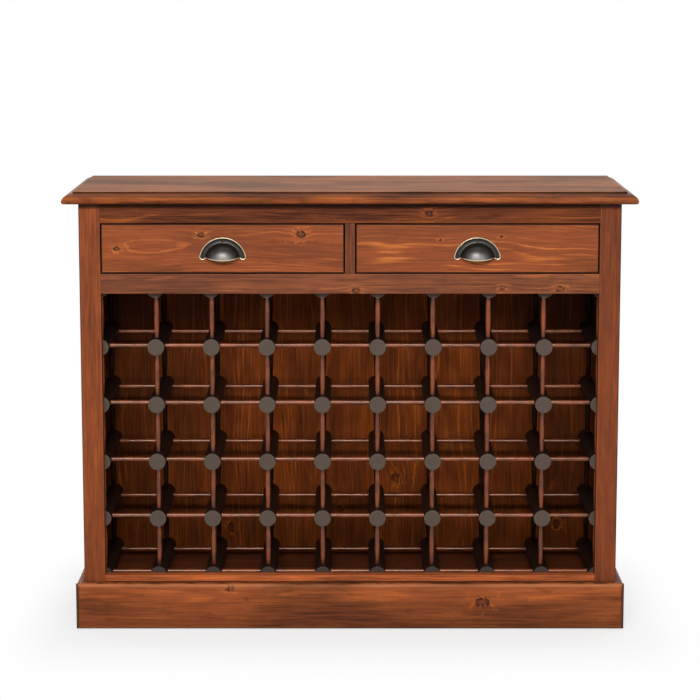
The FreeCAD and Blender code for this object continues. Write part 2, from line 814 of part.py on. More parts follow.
stops = new_body("drawer_stops", ("0", "front_y + drawer_front_thickness + stop_gap", "deck_top"))
for number, (drawer, side) in enumerate((("-1", "-1"), ("-1", "1"), ("1", "-1"), ("1", "1")), start=1):
    block(
        stops,
        "Additive",
        f"stop_{number}",
        ("stop_width", "stop_depth", "stop_height"),
        (f"{drawer} * drawer_centre + {side} * stop_spread / 2 - stop_width / 2", "0", "0"),
    )

# The rack: rows of thick dowels, bored across and up for the thin rods that tie them together.
ROD_PLANES = (("front", "rod_front_setback", 28), ("rear", "rear_plane", 204))
COLUMNS = range(SIZE["columns"] + 1)
ROWS = range(SIZE["rows"] + 1)
rack_origin = ("first_column", "rack_front")


def dowel_row(number):
    """A row of dowels, bored across for the level rods and up for the uprights."""
    height = f"first_row + {number - 1} * row_pitch"
    dowels = new_body(f"rack_dowels_row_{number}", (*rack_origin, height))
    ends = new_sketch(dowels, "ends", "XZ_Plane")
    end_places = [((112 * n, 0), f"{n} * column_pitch", "0") for n in COLUMNS]
    circles(ends, end_places, "dowel_diameter / 2")
    extrude(dowels, "Pad", ends, "dowel_length", back=True)
    dress(dowels, "Chamfer", "Size", "dowel_ease", lambda edge, bounds: len(edge.Vertexes) == 1)
    across = new_sketch(dowels, "across", "YZ_Plane")
    circles(across, [((y, 0), depth, "0") for _, depth, y in ROD_PLANES], "rod_diameter / 2 + rod_fit")
    extrude(dowels, "Pocket", across, "columns * column_pitch", back=True)
    upward = new_sketch(dowels, "upward", "XY_Plane")
    hole_places = []
    for _, depth, y in ROD_PLANES:
        hole_places += [((112 * n, y), f"{n} * column_pitch", depth) for n in COLUMNS]
    circles(upward, hole_places, "upright_end_diameter / 2 + rod_fit")
    if number == 1:
        extrude(dowels, "Pocket", upward, "dowel_diameter", back=True)
    else:
        extrude(dowels, "Pocket", upward, None)
    return dowels


# The inner rows are alike, and the top row is the bottom row turned over.
bottom_row = dowel_row(1)
inner_row = dowel_row(2)
for number in range(3, SIZE["rows"] + 1):
    copied_row = doc.addObject("Part::Compound", f"rack_dowels_row_{number}")
    copied_row.Links = [inner_row]
    place(copied_row, ("0", "0", f"{number - 2} * row_pitch"))
    nodes.append(copied_row)
top_row = doc.addObject("Part::Mirroring", f"rack_dowels_row_{SIZE['rows'] + 1}")
top_row.Source = bottom_row
top_row.Normal = Vector(0, 0, 1)
bind(top_row, "Base.z", "first_row + rows * row_pitch / 2")
nodes.append(top_row)

for plane, depth, _ in ROD_PLANES:
    rods = new_body(
        f"rack_{plane}_cross_rods",
        ("first_column + rod_start + rod_end_gap", f"rack_front + {depth}", "first_row"),
    )
    rod_ends = new_sketch(rods, "rod_ends", "YZ_Plane")
    circles(rod_ends, [((0, 118 * n), "0", f"{n} * row_pitch") for n in ROWS], "rod_diameter / 2")
    first_rods = extrude(rods, "Pad", rod_ends, "rod_length")
    repeat(rods, first_rods, "X_Axis", "column_pitch", "columns")

    uprights = new_body(
        f"rack_{plane}_uprights",
        ("first_column", f"rack_front + {depth}", "first_row + rod_start + rod_end_gap"),
    )
    turning = new_sketch(uprights, "turning", "XZ_Plane")
    rough = [Vector(*spot, 0) for spot in ((0, 0), (4, 0), (4, 9), (4, 93), (4, 102), (0, 102))]
    for start, end in ((0, 1), (1, 2), (3, 4), (4, 5), (5, 0)):
        turning.addGeometry(Part.LineSegment(rough[start], rough[end]))
    turning.addGeometry(Part.Arc(rough[2], Vector(5.5, 51, 0), rough[3]))
    joined = ((0, 2, 1, 1), (1, 2, 5, 1), (5, 2, 2, 1), (2, 2, 3, 1), (3, 2, 4, 1), (4, 2, 0, 1))
    pairs = [(Sketcher.Constraint("Coincident", *ends), None) for ends in joined]
    pairs += [(Sketcher.Constraint("Horizontal", line), None) for line in (0, 3)]
    pairs += [(Sketcher.Constraint("Vertical", line), None) for line in (1, 2, 4)]
    pairs += [(Sketcher.Constraint("Equal", *lines), None) for lines in ((1, 2), (0, 3))]
    pairs += [
        (Sketcher.Constraint("Coincident", 0, 1, -1, 1), None),
        (Sketcher.Constraint("DistanceX", 0, 1, 0, 2, 4), "upright_end_diameter / 2"),
        (Sketcher.Constraint("DistanceY", 1, 1, 1, 2, 9), "rod_seat"),
        (Sketcher.Constraint("DistanceY", 0, 1, 3, 2, 102), "upright_length"),
        (
            Sketcher.Constraint("Radius", 5, 800),
            "(swell_half * swell_half + swell * swell) / (2 * swell)",
        ),
    ]
    rules(turning, pairs)
    upright = uprights.newObject("PartDesign::Revolution", f"rack_{plane}_upright")
    upright.Profile = turning
    upright.ReferenceAxis = (turning, ["V_Axis"])
    upright.Angle = 360
    across_and_up = ("Z_Axis", "row_pitch", "rows")
    repeat(uprights, upright, "X_Axis", "column_pitch", "columns + 1", across_and_up)


def drawer(side, opening, centre):
    """One drawer: front, two sides, back, bottom, a cup handle and its screws."""
    front = new_body(
        f"{side}_drawer_front", (f"{opening} + drawer_gap", "front_y", "deck_top + drawer_gap")
    )
    front_size = ("drawer_front_width", "drawer_front_thickness", "drawer_front_height")
    block(front, "Additive", "blank", front_size, ("0", "0", "0"))
    side_low = "drawer_run_gap - drawer_gap"
    seat_y = "drawer_front_thickness - drawer_seat"
    left_x = "drawer_side_gap - drawer_gap"
    right_x = "drawer_front_width - drawer_side_gap + drawer_gap - drawer_side_thickness"
    for name, x in (("left_seat", left_x), ("right_seat", right_x)):
        block(
            front,
            "Subtractive",
            name,
            (
                "drawer_side_thickness + 2 * drawer_fit",
                "drawer_seat + 1",
                f"drawer_side_height + {side_low} + drawer_fit + 2",
            ),
            (f"{x} - drawer_fit", seat_y, "-2"),
        )
    block(
        front,
        "Subtractive",
        "bottom_groove",
        (
            "drawer_inner + 2",
            "drawer_bottom_seat + 1",
            "drawer_bottom_thickness + 2 * drawer_fit",
        ),
        (
            f"{left_x} + drawer_side_thickness - 1",
            "drawer_front_thickness - drawer_bottom_seat",
            f"{side_low} + drawer_bottom_lift - drawer_fit",
        ),
    )
    screw_places = (("0", "screw_arc"), ("-lobe_x", "lobe_height"), ("lobe_x", "lobe_height"))
    for number, (x, z) in enumerate(screw_places, start=1):
        round_bar(
            front,
            "Subtractive",
            f"screw_hole_{number}",
            "handle_screw_diameter / 2 + screw_fit",
            "handle_screw_length - flange_thickness + 1",
            (f"drawer_front_width / 2 + {x}", "0", f"arc_height - deck_top - drawer_gap + {z}"),
            INWARD,
        )
    dress(
        front,
        "Fillet",
        "Radius",
        "drawer_front_ease",
        lambda edge, bounds: lies(edge, 1, bounds.YMin) and (runs(edge, 0) or runs(edge, 2)),
    )

    for name, x, inner_groove, inner_seat in (
        (
            "left",
            f"{opening} + drawer_side_gap",
            "drawer_side_thickness - drawer_bottom_seat",
            "drawer_side_thickness - drawer_back_seat",
        ),
        (
            "right",
            f"{opening} + opening_width - drawer_side_gap - drawer_side_thickness",
            "-1",
            "-1",
        ),
    ):
        wall = new_body(f"{side}_drawer_{name}_side", (x, "drawer_start", "drawer_base"))
        wall_size = ("drawer_side_thickness", "drawer_side_length", "drawer_side_height")
        block(wall, "Additive", "blank", wall_size, ("0", "0", "0"))
        block(
            wall,
            "Subtractive",
            "bottom_groove",
            (
                "drawer_bottom_seat + 1",
                "drawer_side_length + 2",
                "drawer_bottom_thickness + 2 * drawer_fit",
            ),
            (inner_groove, "-1", "drawer_bottom_lift - drawer_fit"),
        )
        block(
            wall,
            "Subtractive",
            "back_seat",
            (
                "drawer_back_seat + 1",
                "drawer_back_thickness + 2 * drawer_fit",
                "drawer_side_height",
            ),
            (
                inner_seat,
                "drawer_back_y - drawer_start - drawer_fit",
                "drawer_bottom_lift + drawer_bottom_thickness",
            ),
        )

    inner_x = f"{opening} + drawer_side_gap + drawer_side_thickness"
    back = new_body(
        f"{side}_drawer_back",
        (f"{inner_x} - drawer_back_seat + drawer_fit", "drawer_back_y", "bottom_top + drawer_fit"),
    )
    back_height = (
        "drawer_side_height - drawer_bottom_lift - drawer_bottom_thickness - drawer_back_drop"
    )
    block(
        back,
        "Additive",
        "blank",
        (
            "drawer_inner + 2 * drawer_back_seat - 2 * drawer_fit",
            "drawer_back_thickness",
            back_height,
        ),
        ("0", "0", "0"),
    )
    floor = new_body(
        f"{side}_drawer_bottom",
        (
            f"{inner_x} - drawer_bottom_seat + drawer_fit",
            "bottom_start",
            "drawer_base + drawer_bottom_lift",
        ),
    )
    block(
        floor,
        "Additive",
        "blank",
        (
            "drawer_inner + 2 * drawer_bottom_seat - 2 * drawer_fit",
            "drawer_back_y + drawer_back_thickness - bottom_start",
            "drawer_bottom_thickness",
        ),
        ("0", "0", "0"),
    )
    cup_handle(side, centre, screw_places)


def cup_handle(side, centre, screw_places):
    """A cast cup with a curved flange, held by three round-headed screws."""
    cup = new_body(f"{side}_cup_handle", (centre, "front_y", "arc_height"))
    shell = cup.newObject("PartDesign::AdditiveEllipsoid", f"{side}_cup_outside")
    bind(shell, "Radius1", "cup_rise")
    bind(shell, "Radius2", "cup_half_width")
    bind(shell, "Radius3", "cup_depth")
    place(shell, ("0", "0", "cup_rim_height"))
    waste = new_sketch(cup, "waste", "YZ_Plane")
    polygon(
        waste,
        (
            ((0, 7), "0", "cup_rim_height"),
            ((-30, 2), "-cup_depth - 4", "cup_rim_height - cup_lip_drop"),
            ((-30, -60), "-cup_depth - 4", "-2 * cup_rise"),
            ((60, -60), "2 * cup_depth", "-2 * cup_rise"),
            ((60, 60), "2 * cup_depth", "2 * cup_rise"),
            ((0, 60), "0", "2 * cup_rise"),
        ),
    )
    extrude(cup, "Pocket", waste, None)

    outline = new_sketch(cup, "flange_outline", "XZ_Plane")
    middle = Vector(0, 0, 0)
    up = Vector(0, 0, 1)
    outline.addGeometry(Part.ArcOfCircle(Part.Circle(middle, up, 47.8), 0.217, 2.925))
    right_lobe = Part.Circle(Vector(40.3, 8.9, 0), up, 6.5)
    outline.addGeometry(Part.ArcOfCircle(right_lobe, 3.142, 6.5))
    left_lobe = Part.Circle(Vector(-40.3, 8.9, 0), up, 6.5)
    outline.addGeometry(Part.ArcOfCircle(left_lobe, 2.925, 6.283))
    outline.addGeometry(Part.LineSegment(Vector(-33.8, 8.9, 0), Vector(33.8, 8.9, 0)))
    pairs = [
        (Sketcher.Constraint("Coincident", 0, 3, -1, 1), None),
        (Sketcher.Constraint("Tangent", 0, 1, 1, 2), None),
        (Sketcher.Constraint("Tangent", 0, 2, 2, 1), None),
        (Sketcher.Constraint("Coincident", 3, 1, 2, 2), None),
        (Sketcher.Constraint("Coincident", 3, 2, 1, 1), None),
        (Sketcher.Constraint("Equal", 1, 2), None),
        (Sketcher.Constraint("Radius", 0, 47.8), "flange_radius"),
        (Sketcher.Constraint("Radius", 1, 6.5), "lobe_radius"),
    ]
    for arc in (1, 2):
        pairs.append((Sketcher.Constraint("DistanceY", -1, 1, arc, 3, 8.9), "lobe_height"))
    for end in (1, 2):
        pairs.append((Sketcher.Constraint("DistanceY", -1, 1, 3, end, 8.9), "lobe_height"))
    rules(outline, pairs)
    extrude(cup, "Pad", outline, "flange_thickness")

    hollow = cup.newObject("PartDesign::SubtractiveEllipsoid", f"{side}_cup_inside")
    bind(hollow, "Radius1", "cup_rise - cup_wall")
    bind(hollow, "Radius2", "cup_half_width - cup_wall")
    bind(hollow, "Radius3", "cup_depth - cup_wall")
    place(hollow, ("0", "0", "cup_rim_height"))
    for number, (x, z) in enumerate(screw_places, start=1):
        round_bar(
            cup,
            "Subtractive",
            f"screw_hole_{number}",
            "handle_screw_diameter / 2 + screw_fit",
            "flange_thickness + 12",
            (x, "-flange_thickness - 6", z),
            INWARD,
        )

    fasteners = new_body(f"{side}_handle_screws", (centre, "front_y - flange_thickness", "arc_height"))
    for number, (x, z) in enumerate(screw_places, start=1):
        round_bar(
            fasteners,
            "Additive",
            f"shank_{number}",
            "handle_screw_diameter / 2",
            "handle_screw_length",
            (x, "0", z),
            INWARD,
        )
        round_bar(
            fasteners,
            "Additive",
            f"head_{number}",
            "handle_head_diameter / 2",
            "handle_head_height",
            (x, "-handle_head_height", z),
            INWARD,
        )


drawer("left", "-clear_width / 2", "-drawer_centre")
drawer("right", "muntin_width / 2", "drawer_centre")

doc.recompute()
for thing in doc.Objects:
    if "Invalid" in thing.State or "Error" in thing.State:
        raise RuntimeError(f"{thing.Label} did not recompute: {thing.State}")

os.makedirs("parts", exist_ok=True)
for node in nodes:
    if node.Shape.isNull() or not node.Shape.isValid() or not node.Shape.Solids:
        raise RuntimeError(f"{node.Label} is not a valid solid")
    node.Shape.exportStep(f"parts/{node.Label}.step")
    print(node.Label, len(node.Shape.Solids), "solids", round(node.Shape.Volume / 1000, 1), "cm3")
print(len(nodes), "nodes")
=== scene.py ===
# %% [markdown]
# # A wine cabinet in stained pine
# The cabinet was drawn first as solid parts, one for each piece of wood or metal. This lesson dresses
# those parts: it sets up a camera and soft light, mixes a stained pine that has real growth rings, and
# remakes the pieces whose shape the plain solids leave too sharp. Every cell prints what it made.

import json
import math

import bmesh
import bpy
from mathutils import Matrix, Vector
from mathutils import noise as slow_noise

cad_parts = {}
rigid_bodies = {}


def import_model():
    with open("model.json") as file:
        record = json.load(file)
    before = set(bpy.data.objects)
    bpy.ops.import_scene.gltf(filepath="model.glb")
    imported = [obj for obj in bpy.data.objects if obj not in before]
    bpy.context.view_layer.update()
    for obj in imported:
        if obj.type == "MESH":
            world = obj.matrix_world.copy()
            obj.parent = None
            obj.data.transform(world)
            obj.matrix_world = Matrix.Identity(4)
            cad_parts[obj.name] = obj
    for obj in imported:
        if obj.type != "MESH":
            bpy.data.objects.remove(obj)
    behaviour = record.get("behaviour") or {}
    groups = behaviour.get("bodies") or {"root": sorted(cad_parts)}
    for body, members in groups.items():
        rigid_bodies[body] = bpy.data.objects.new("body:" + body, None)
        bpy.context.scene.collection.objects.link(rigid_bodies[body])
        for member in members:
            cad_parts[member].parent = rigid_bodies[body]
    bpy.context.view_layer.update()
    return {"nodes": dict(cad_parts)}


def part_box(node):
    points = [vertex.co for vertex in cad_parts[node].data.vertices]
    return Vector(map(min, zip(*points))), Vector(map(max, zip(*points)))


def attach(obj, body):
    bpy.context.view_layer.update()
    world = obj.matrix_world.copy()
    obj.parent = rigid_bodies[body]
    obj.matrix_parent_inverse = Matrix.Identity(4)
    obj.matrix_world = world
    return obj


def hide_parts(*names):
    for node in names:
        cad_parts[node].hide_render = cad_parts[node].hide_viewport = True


MM = 0.001
for leftover in list(bpy.data.objects):
    bpy.data.objects.remove(leftover)
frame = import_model()
nodes = frame["nodes"]

# %% [markdown]
# ## The camera
# The cabinet is seen from straight ahead and a little above, through a long lens. A view camera would
# keep every upright parallel by a large lens shift. Other views keep the shift as well, so only a small
# one is used here, and the camera tips down for the rest.

# %% Camera
LENS = 111.67
LENS_SHIFT = -0.1
CAMERA_SPOT = (0.0, -4.476, 1.332)
CAMERA_TIP = 8.05
camera = bpy.data.objects.new("camera", bpy.data.cameras.new("camera"))
camera.data.lens = LENS
camera.data.shift_y = LENS_SHIFT
camera.location = CAMERA_SPOT
camera.rotation_euler = (math.radians(90 - CAMERA_TIP), 0, 0)
bpy.context.scene.collection.objects.link(camera)
bpy.context.scene.camera = camera
bpy.context.scene.view_settings.view_transform = "Standard"
print("camera", tuple(camera.location), "lens", LENS)

# %% [markdown]
# ## A socket that can be added and multiplied
# A finish is a small sum: rings plus fibres, times a stain. Wrapping a node's socket in a class lets
# Python write that sum as a sum. Arithmetic adds Math nodes, and one method makes every other node.
# The colour sockets of a Mix node are given by number, because several of its sockets share a name.

# %% Shader arithmetic
MIX_FACTOR, MIX_FIRST, MIX_SECOND, MIX_RESULT = 0, 6, 7, 2


class Signal:
    """A socket of a material. Arithmetic on it adds Math nodes."""

    def __init__(self, tree, socket):
        self.tree = tree
        self.socket = socket

    @classmethod
    def make(cls, tree, kind, settings=None, sockets=None, output=0):
        """Any node: its settings first, then the values or links of its sockets."""
        node = tree.nodes.new(kind)
        for name, value in (settings or {}).items():
            setattr(node, name, value)
        for name, value in (sockets or {}).items():
            if isinstance(value, cls):
                tree.links.new(value.socket, node.inputs[name])
            else:
                node.inputs[name].default_value = value
        return cls(tree, node.outputs[output])

    def math(self, operation, first, second=0.0):
        return self.make(self.tree, "ShaderNodeMath", {"operation": operation}, {0: first, 1: second})

    def __add__(self, other):
        return self.math("ADD", self, other)

    def __radd__(self, other):
        return self.math("ADD", other, self)

    def __sub__(self, other):
        return self.math("SUBTRACT", self, other)

    def __rsub__(self, other):
        return self.math("SUBTRACT", other, self)

    def __mul__(self, other):
        return self.math("MULTIPLY", self, other)

    def __rmul__(self, other):
        return self.math("MULTIPLY", other, self)

    def __truediv__(self, other):
        return self.math("DIVIDE", self, other)

    def __rtruediv__(self, other):
        return self.math("DIVIDE", other, self)

    def __pow__(self, other):
        return self.math("POWER", self, other)

    def __abs__(self):
        return self.math("ABSOLUTE", self)

    def least(self, other):
        return self.math("MINIMUM", self, other)

    def most(self, other):
        return self.math("MAXIMUM", self, other)

    def ease(self, low, high):
        """0 below low, 1 above high, and a smooth rise between them."""
        ends = {"Value": self, "From Min": low, "From Max": high}
        return self.make(self.tree, "ShaderNodeMapRange", {"interpolation_type": "SMOOTHSTEP"}, ends)

    def fade(self, low, high):
        """1 below low, 0 above high, and a smooth fall between them."""
        return 1.0 - self.ease(low, high)

    def blend(self, colour, other):
        """colour where this socket is 0, and other where it is 1."""
        sockets = {MIX_FACTOR: self, MIX_FIRST: colour, MIX_SECOND: other}
        return self.make(self.tree, "ShaderNodeMix", {"data_type": "RGBA"}, sockets, MIX_RESULT)

    def split(self):
        """The three parts of a place."""
        first = self.make(self.tree, "ShaderNodeSeparateXYZ", sockets={0: self})
        return [Signal(self.tree, socket) for socket in first.socket.node.outputs]


def stain(red, green, blue):
    """A colour as a paint chart gives it, 0 to 255, as the renderer needs it: the sRGB curve undone."""
    parts = (red / 255, green / 255, blue / 255)
    return (*(n / 12.92 if n <= 0.04045 else ((n + 0.055) / 1.055) ** 2.4 for n in parts), 1.0)


print("red-brown stain:", [round(n, 3) for n in stain(150, 80, 44)])

# %% [markdown]
# ## Floor and world
# A studio sweep is white to the eye but still holds the contact shadow. The floor glows white towards
# the camera, less so near the cabinet, where its plain diffuse part keeps the shadow. The world is white
# only where it is seen or mirrored; as a lamp it is dim, so the soft boxes do most of the lighting.


# %% World
def seen_directly(tree):
    """1 for rays that show a surface to the eye, also by mirroring, and 0 for rays that carry light."""
    total = 0.0
    for ray in ("Is Camera Ray", "Is Glossy Ray", "Is Transmission Ray"):
        total = Signal.make(tree, "ShaderNodeLightPath", output=ray) + total
    return total.least(1.0)


WHITE = (1, 1, 1, 1)
WORLD_LIGHT = 0.05
world = bpy.data.worlds.new("studio")
bpy.context.scene.world = world
world.use_nodes = True
sky = world.node_tree
strength = seen_directly(sky) * (1 - WORLD_LIGHT) + WORLD_LIGHT
sky.links.new(strength.socket, sky.nodes["Background"].inputs["Strength"])
sky.nodes["Background"].inputs["Color"].default_value = WHITE
print("world light", WORLD_LIGHT)

# %% Floor
FLOOR_SIZE = 400.0
FLOOR_DROP = 0.5 * MM
PAPER_GREY = (0.9, 0.9, 0.9, 1)
SHADOW_REACH = 0.36
SIDE_SQUEEZE = 2.2
NEAR_GLOW = 0.68
FOOT_WIDE, FOOT_DEEP = -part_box("plinth_front")[0].x, -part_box("plinth_front")[0].y
floor_mesh = bmesh.new()
bmesh.ops.create_grid(floor_mesh, x_segments=1, y_segments=1, size=FLOOR_SIZE / 2)
floor = bpy.data.objects.new("studio_floor", bpy.data.meshes.new("studio_floor"))
floor_mesh.to_mesh(floor.data)
floor_mesh.free()
floor.location.z = -FLOOR_DROP
bpy.context.scene.collection.objects.link(floor)

paper = bpy.data.materials.new("floor paper")
paper.use_nodes = True
tree = paper.node_tree
tree.nodes.remove(tree.nodes["Principled BSDF"])
sideways, forwards, _ = Signal.make(tree, "ShaderNodeTexCoord", output="Object").split()
beside = (abs(sideways) - FOOT_WIDE).most(0.0) * SIDE_SQUEEZE
before = (abs(forwards) - FOOT_DEEP).most(0.0)
reach = (beside * beside + before * before) ** 0.5
glow = seen_directly(tree) * (reach.ease(0.0, SHADOW_REACH) * (1 - NEAR_GLOW) + NEAR_GLOW)
diffuse = Signal.make(tree, "ShaderNodeBsdfDiffuse", sockets={"Color": PAPER_GREY})
white = Signal.make(tree, "ShaderNodeEmission", sockets={"Color": WHITE, "Strength": 1.0})
surface = Signal.make(tree, "ShaderNodeMixShader", sockets={0: glow, 1: diffuse, 2: white})
tree.links.new(surface.socket, tree.nodes["Material Output"].inputs["Surface"])
floor.data.materials.append(paper)
print("floor", FLOOR_SIZE, "m wide")

# %% [markdown]
# ## Soft boxes
# The rack shows where the light is: each level rod carries one thin bright line from end to end. A small
# lamp would light only a short stretch of it. So the key is a wide, flat soft box, high in front of the
# cabinet. Weak boxes stand at both sides and behind, so that the other views aren't dark. The one behind is
# kept out of reflections, because the top would mirror it.

# %% Soft boxes
AIM = Vector((0, 0, 0.5))
SOFT_BOXES = (
    ("key", (-0.3, -3.7, 2.4), (2.4, 0.4), 128),
    ("fill", (2.2, -3.4, 1.7), (1.2, 1.2), 10),
    ("overhead", (0.3, -0.4, 3.4), (2.4, 1.6), 22),
    ("left", (-2.8, 2.0, 1.7), (1.4, 1.4), 32),
    ("right", (2.8, 2.0, 1.7), (1.4, 1.4), 32),
    ("back", (0.4, 2.6, 2.4), (2.6, 1.4), 36),
)
for name, place, size, watts in SOFT_BOXES:
    lamp = bpy.data.objects.new(name, bpy.data.lights.new(name, "AREA"))
    lamp.data.shape = "RECTANGLE"
    lamp.data.size, lamp.data.size_y = size
    lamp.data.energy = watts
    lamp.location = place
    lamp.rotation_euler = (AIM - lamp.location).to_track_quat("-Z", "Y").to_euler()
    lamp.visible_glossy = name != "back"
    bpy.context.scene.collection.objects.link(lamp)
    print("soft box", name, "at", place, watts, "W")

# %% [markdown]
# ## Stain tones
# A pigment stain soaks into the soft spring wood and slides off the hard summer wood, so one stain gives
# several colours on one board: where it soaked in, where it is plain, the hard lines, the dark outline and
# the heart of a knot, and the edges that use has rubbed, whose pale colour is also a painted highlight.
# Each board has its own set, written as on a paint chart. A board that was cut from another tree has a
# paler or redder set. Some sets are painted light: the darker sets of the top rail, the right stile and
# the shelf inside the rack are painted shade, and the pale set of the moulding is partly a painted
# highlight.


# %% Stain tones
def stains(soaked, plain, line, knot=(30, 15, 10), heart=(78, 40, 25), worn=(182, 100, 50)):
    """The colours of one board. Its worn colour stands for wear and also for a painted highlight on the
    edges.
    """
    chart = {"soaked": soaked, "plain": plain, "line": line, "knot": knot, "heart": heart, "worn": worn}
    return {part: stain(*colour) for part, colour in chart.items()}


RED_BROWN = stains((74, 34, 17), (158, 79, 37), (212, 112, 44))
# Darker: painted shade under the top.
SHADOW_BROWN = stains((46, 22, 13), (130, 66, 33), (166, 88, 40), knot=(56, 29, 18))
TOP_BROWN = stains((58, 32, 17), (162, 98, 54), (204, 136, 79))
# Paler: partly a painted highlight on the round of the moulding.
MOULDING_BROWN = stains((62, 30, 15), (244, 132, 66), (212, 112, 44))
LEFT_STILE_BROWN = stains((80, 37, 19), (158, 79, 37), (178, 91, 42))
# Darker than the left stile: painted shade.
RIGHT_STILE_BROWN = stains((80, 37, 19), (142, 70, 33), (178, 91, 42))
RAIL_BROWN = stains((72, 39, 25), (148, 82, 48), (198, 110, 56), knot=(66, 34, 21), heart=(112, 58, 34))
MUNTIN_BROWN = stains((52, 27, 17), (132, 69, 36), (168, 88, 42))
FOOT_BROWN = stains((112, 54, 27), (220, 115, 57), (212, 112, 44))
PLINTH_BROWN = stains(
    (76, 37, 19), (174, 92, 47), (212, 112, 44), knot=(46, 23, 14), heart=(104, 52, 30), worn=(218, 146, 96)
)
# Darker: painted shade inside the rack.
SHELF_DARK = stains((48, 23, 11), (104, 50, 25), (134, 68, 32))
DRAWER_ORANGE = stains((98, 48, 25), (158, 80, 38), (212, 122, 54))
BACK_GOLD = stains((76, 35, 12), (152, 73, 23), (200, 108, 39), knot=(62, 29, 12), heart=(98, 46, 17))
BARE_PINE = stains(
    (196, 152, 100), (216, 176, 124), (190, 138, 82),
    knot=(112, 66, 36), heart=(160, 104, 62), worn=(226, 190, 142),
)
# The dark colour of the corners: dark wax in some, painted shade in most.
WAX_AND_SHADE_DARK = stain(13, 6, 4)
print("colours on one board:", ", ".join(RED_BROWN))

# %% [markdown]
# ## What every finish needs
# Each finish is made the same way: a shader whose constants are set on its own sockets, noise that is drawn
# out along the grain, and links for what changes over the surface, which are colour, roughness and relief.
# A UV map could carry the patterns, but every board would need its own. Object coordinates serve them all,
# because every part lies at its real place and size: a millimetre of grain is a millimetre of wood.


# %% Helpers for every finish
def noise(place, stretch, offset, detail):
    """Noise that is squeezed or drawn out along each axis."""
    tree = place.tree
    sockets = {"Vector": place, "Location": offset, "Scale": stretch}
    drawn = Signal.make(tree, "ShaderNodeMapping", sockets=sockets)
    return Signal.make(tree, "ShaderNodeTexNoise", sockets={"Vector": drawn, "Scale": 1.0, "Detail": detail})


def new_finish(name, **constants):
    """A material's shader, with constants set on it, and the piece's own coordinates."""
    material = bpy.data.materials.new(name)
    material.use_nodes = True
    shader = material.node_tree.nodes["Principled BSDF"]
    for socket, value in constants.items():
        shader.inputs[socket.replace("_", " ")].default_value = value
    place = Signal.make(material.node_tree, "ShaderNodeTexCoord", output="Object")
    return material, shader, place


def link_looks(shader, colour, roughness, height, depth, strength):
    """Links what changes over the surface."""
    tree = colour.tree
    relief = {"Height": height, "Distance": depth, "Strength": strength}
    bump = Signal.make(tree, "ShaderNodeBump", sockets=relief)
    for socket, value in (("Base Color", colour), ("Roughness", roughness), ("Normal", bump)):
        tree.links.new(value.socket, shader.inputs[socket])


def dress(node, material):
    """Gives a solid part its material."""
    nodes[node].data.materials.clear()
    nodes[node].data.materials.append(material)


print("a finish links colour, roughness and relief")

# %% [markdown]
# ## Knots
# A knot is the foot of a branch. The rings flow round it, its heart is hard and reddish, and a dark line
# runs round the heart. It could have rings of its own, but these knots are only a few millimetres wide. So a
# knot is a distance from its centre, made lumpy by noise. Ranges of that distance give the push on the
# rings, the heart, the outline, and the flame of bright grain beside it.

# %% Knots
KNOT_STRETCH = 0.7
KNOT_LUMPS = 130
KNOT_CRACKS = 190
KNOT_PUSH, KNOT_SPREAD = 1.5, 0.16


def knot_marks(knots, place, offset, along, wide, streak):
    """How far knots push the rings aside, and where their hearts, outlines and flames lie.

    The distance from a knot is counted in its own radius.
    """
    lump = noise(place, (KNOT_LUMPS,) * 3, offset, 2.0)
    push = heart = outline = flame = 0.0
    for where, level, size in knots:
        flat = (along - where) * KNOT_STRETCH
        upright = wide - level
        far = (flat * flat + upright * upright) ** 0.5 * (0.2 + lump * 1.4 + streak * 0.25) / size
        push = size * KNOT_PUSH / (far * far * KNOT_SPREAD + 1.0) + push
        heart = far.fade(0.85, 1.2).most(heart)
        outline = (far.ease(0.35, 0.8) * far.fade(0.95, 1.7)).most(outline)
        flame = far.fade(0.9, 4.0).most(flame)
    return push, heart, outline, flame


print("knots are", round(1 / KNOT_STRETCH, 2), "times as long as wide")

# %% [markdown]
# ## Pine
# Pine grows a pale, soft band each spring and a hard, resinous band each summer. The stained hard bands
# show as thin orange lines. Here the rings are cylinders round a pith line that runs along the board. The
# board's face cuts them, which gives straight lines near the edges and arches in the middle, as on a sawn
# board. Slow noise bends the rings, knots push them aside, and stretched noise adds fibres, streaks and
# patches where the stain took more. An image would be quicker, but it would slide over the edges; rings in
# space run through them.

# %% Pine finish
AXES = "xyz"
RING_WIDTH = 5.2 * MM
RING_WOBBLE = 1.8 * MM
GRAIN_DEPTH = 0.4 * MM
WAX_AND_SHADE_COVER = 0.95
SEED_STEP = (3.7, 1.9, 5.3)
RING_SEED = 17.0
# Each noise: how close it is along the grain and across it, and its detail.
BEND, PATCH, STREAK = (2.2, 7.0, 2.0), (4.0, 18.0, 3.0), (8.0, 210.0, 3.0)
FIBRE, MOTTLE = (17.0, 560.0, 3.0), (26.0, 62.0, 3.0)
USUAL_TRAITS = {
    "wander": 0.05,
    "clouds": 0.3,
    "lines": 0.75,
    "wear": 0.4,
    "rub_reach": 2.6 * MM,
    "crease": None,
    "gloss": 0.16,
    "roughness": 0.5,
}


def edge_nearness(parts, low, high):
    """How far a point on the surface of a box is from its nearest edge."""
    room = []
    for part, start, end in zip(parts, low, high):
        room.append((end - start) / 2 - abs(part - (start + end) / 2))
    first, second, third = room
    return first.least(second).most(first.most(second).least(third))


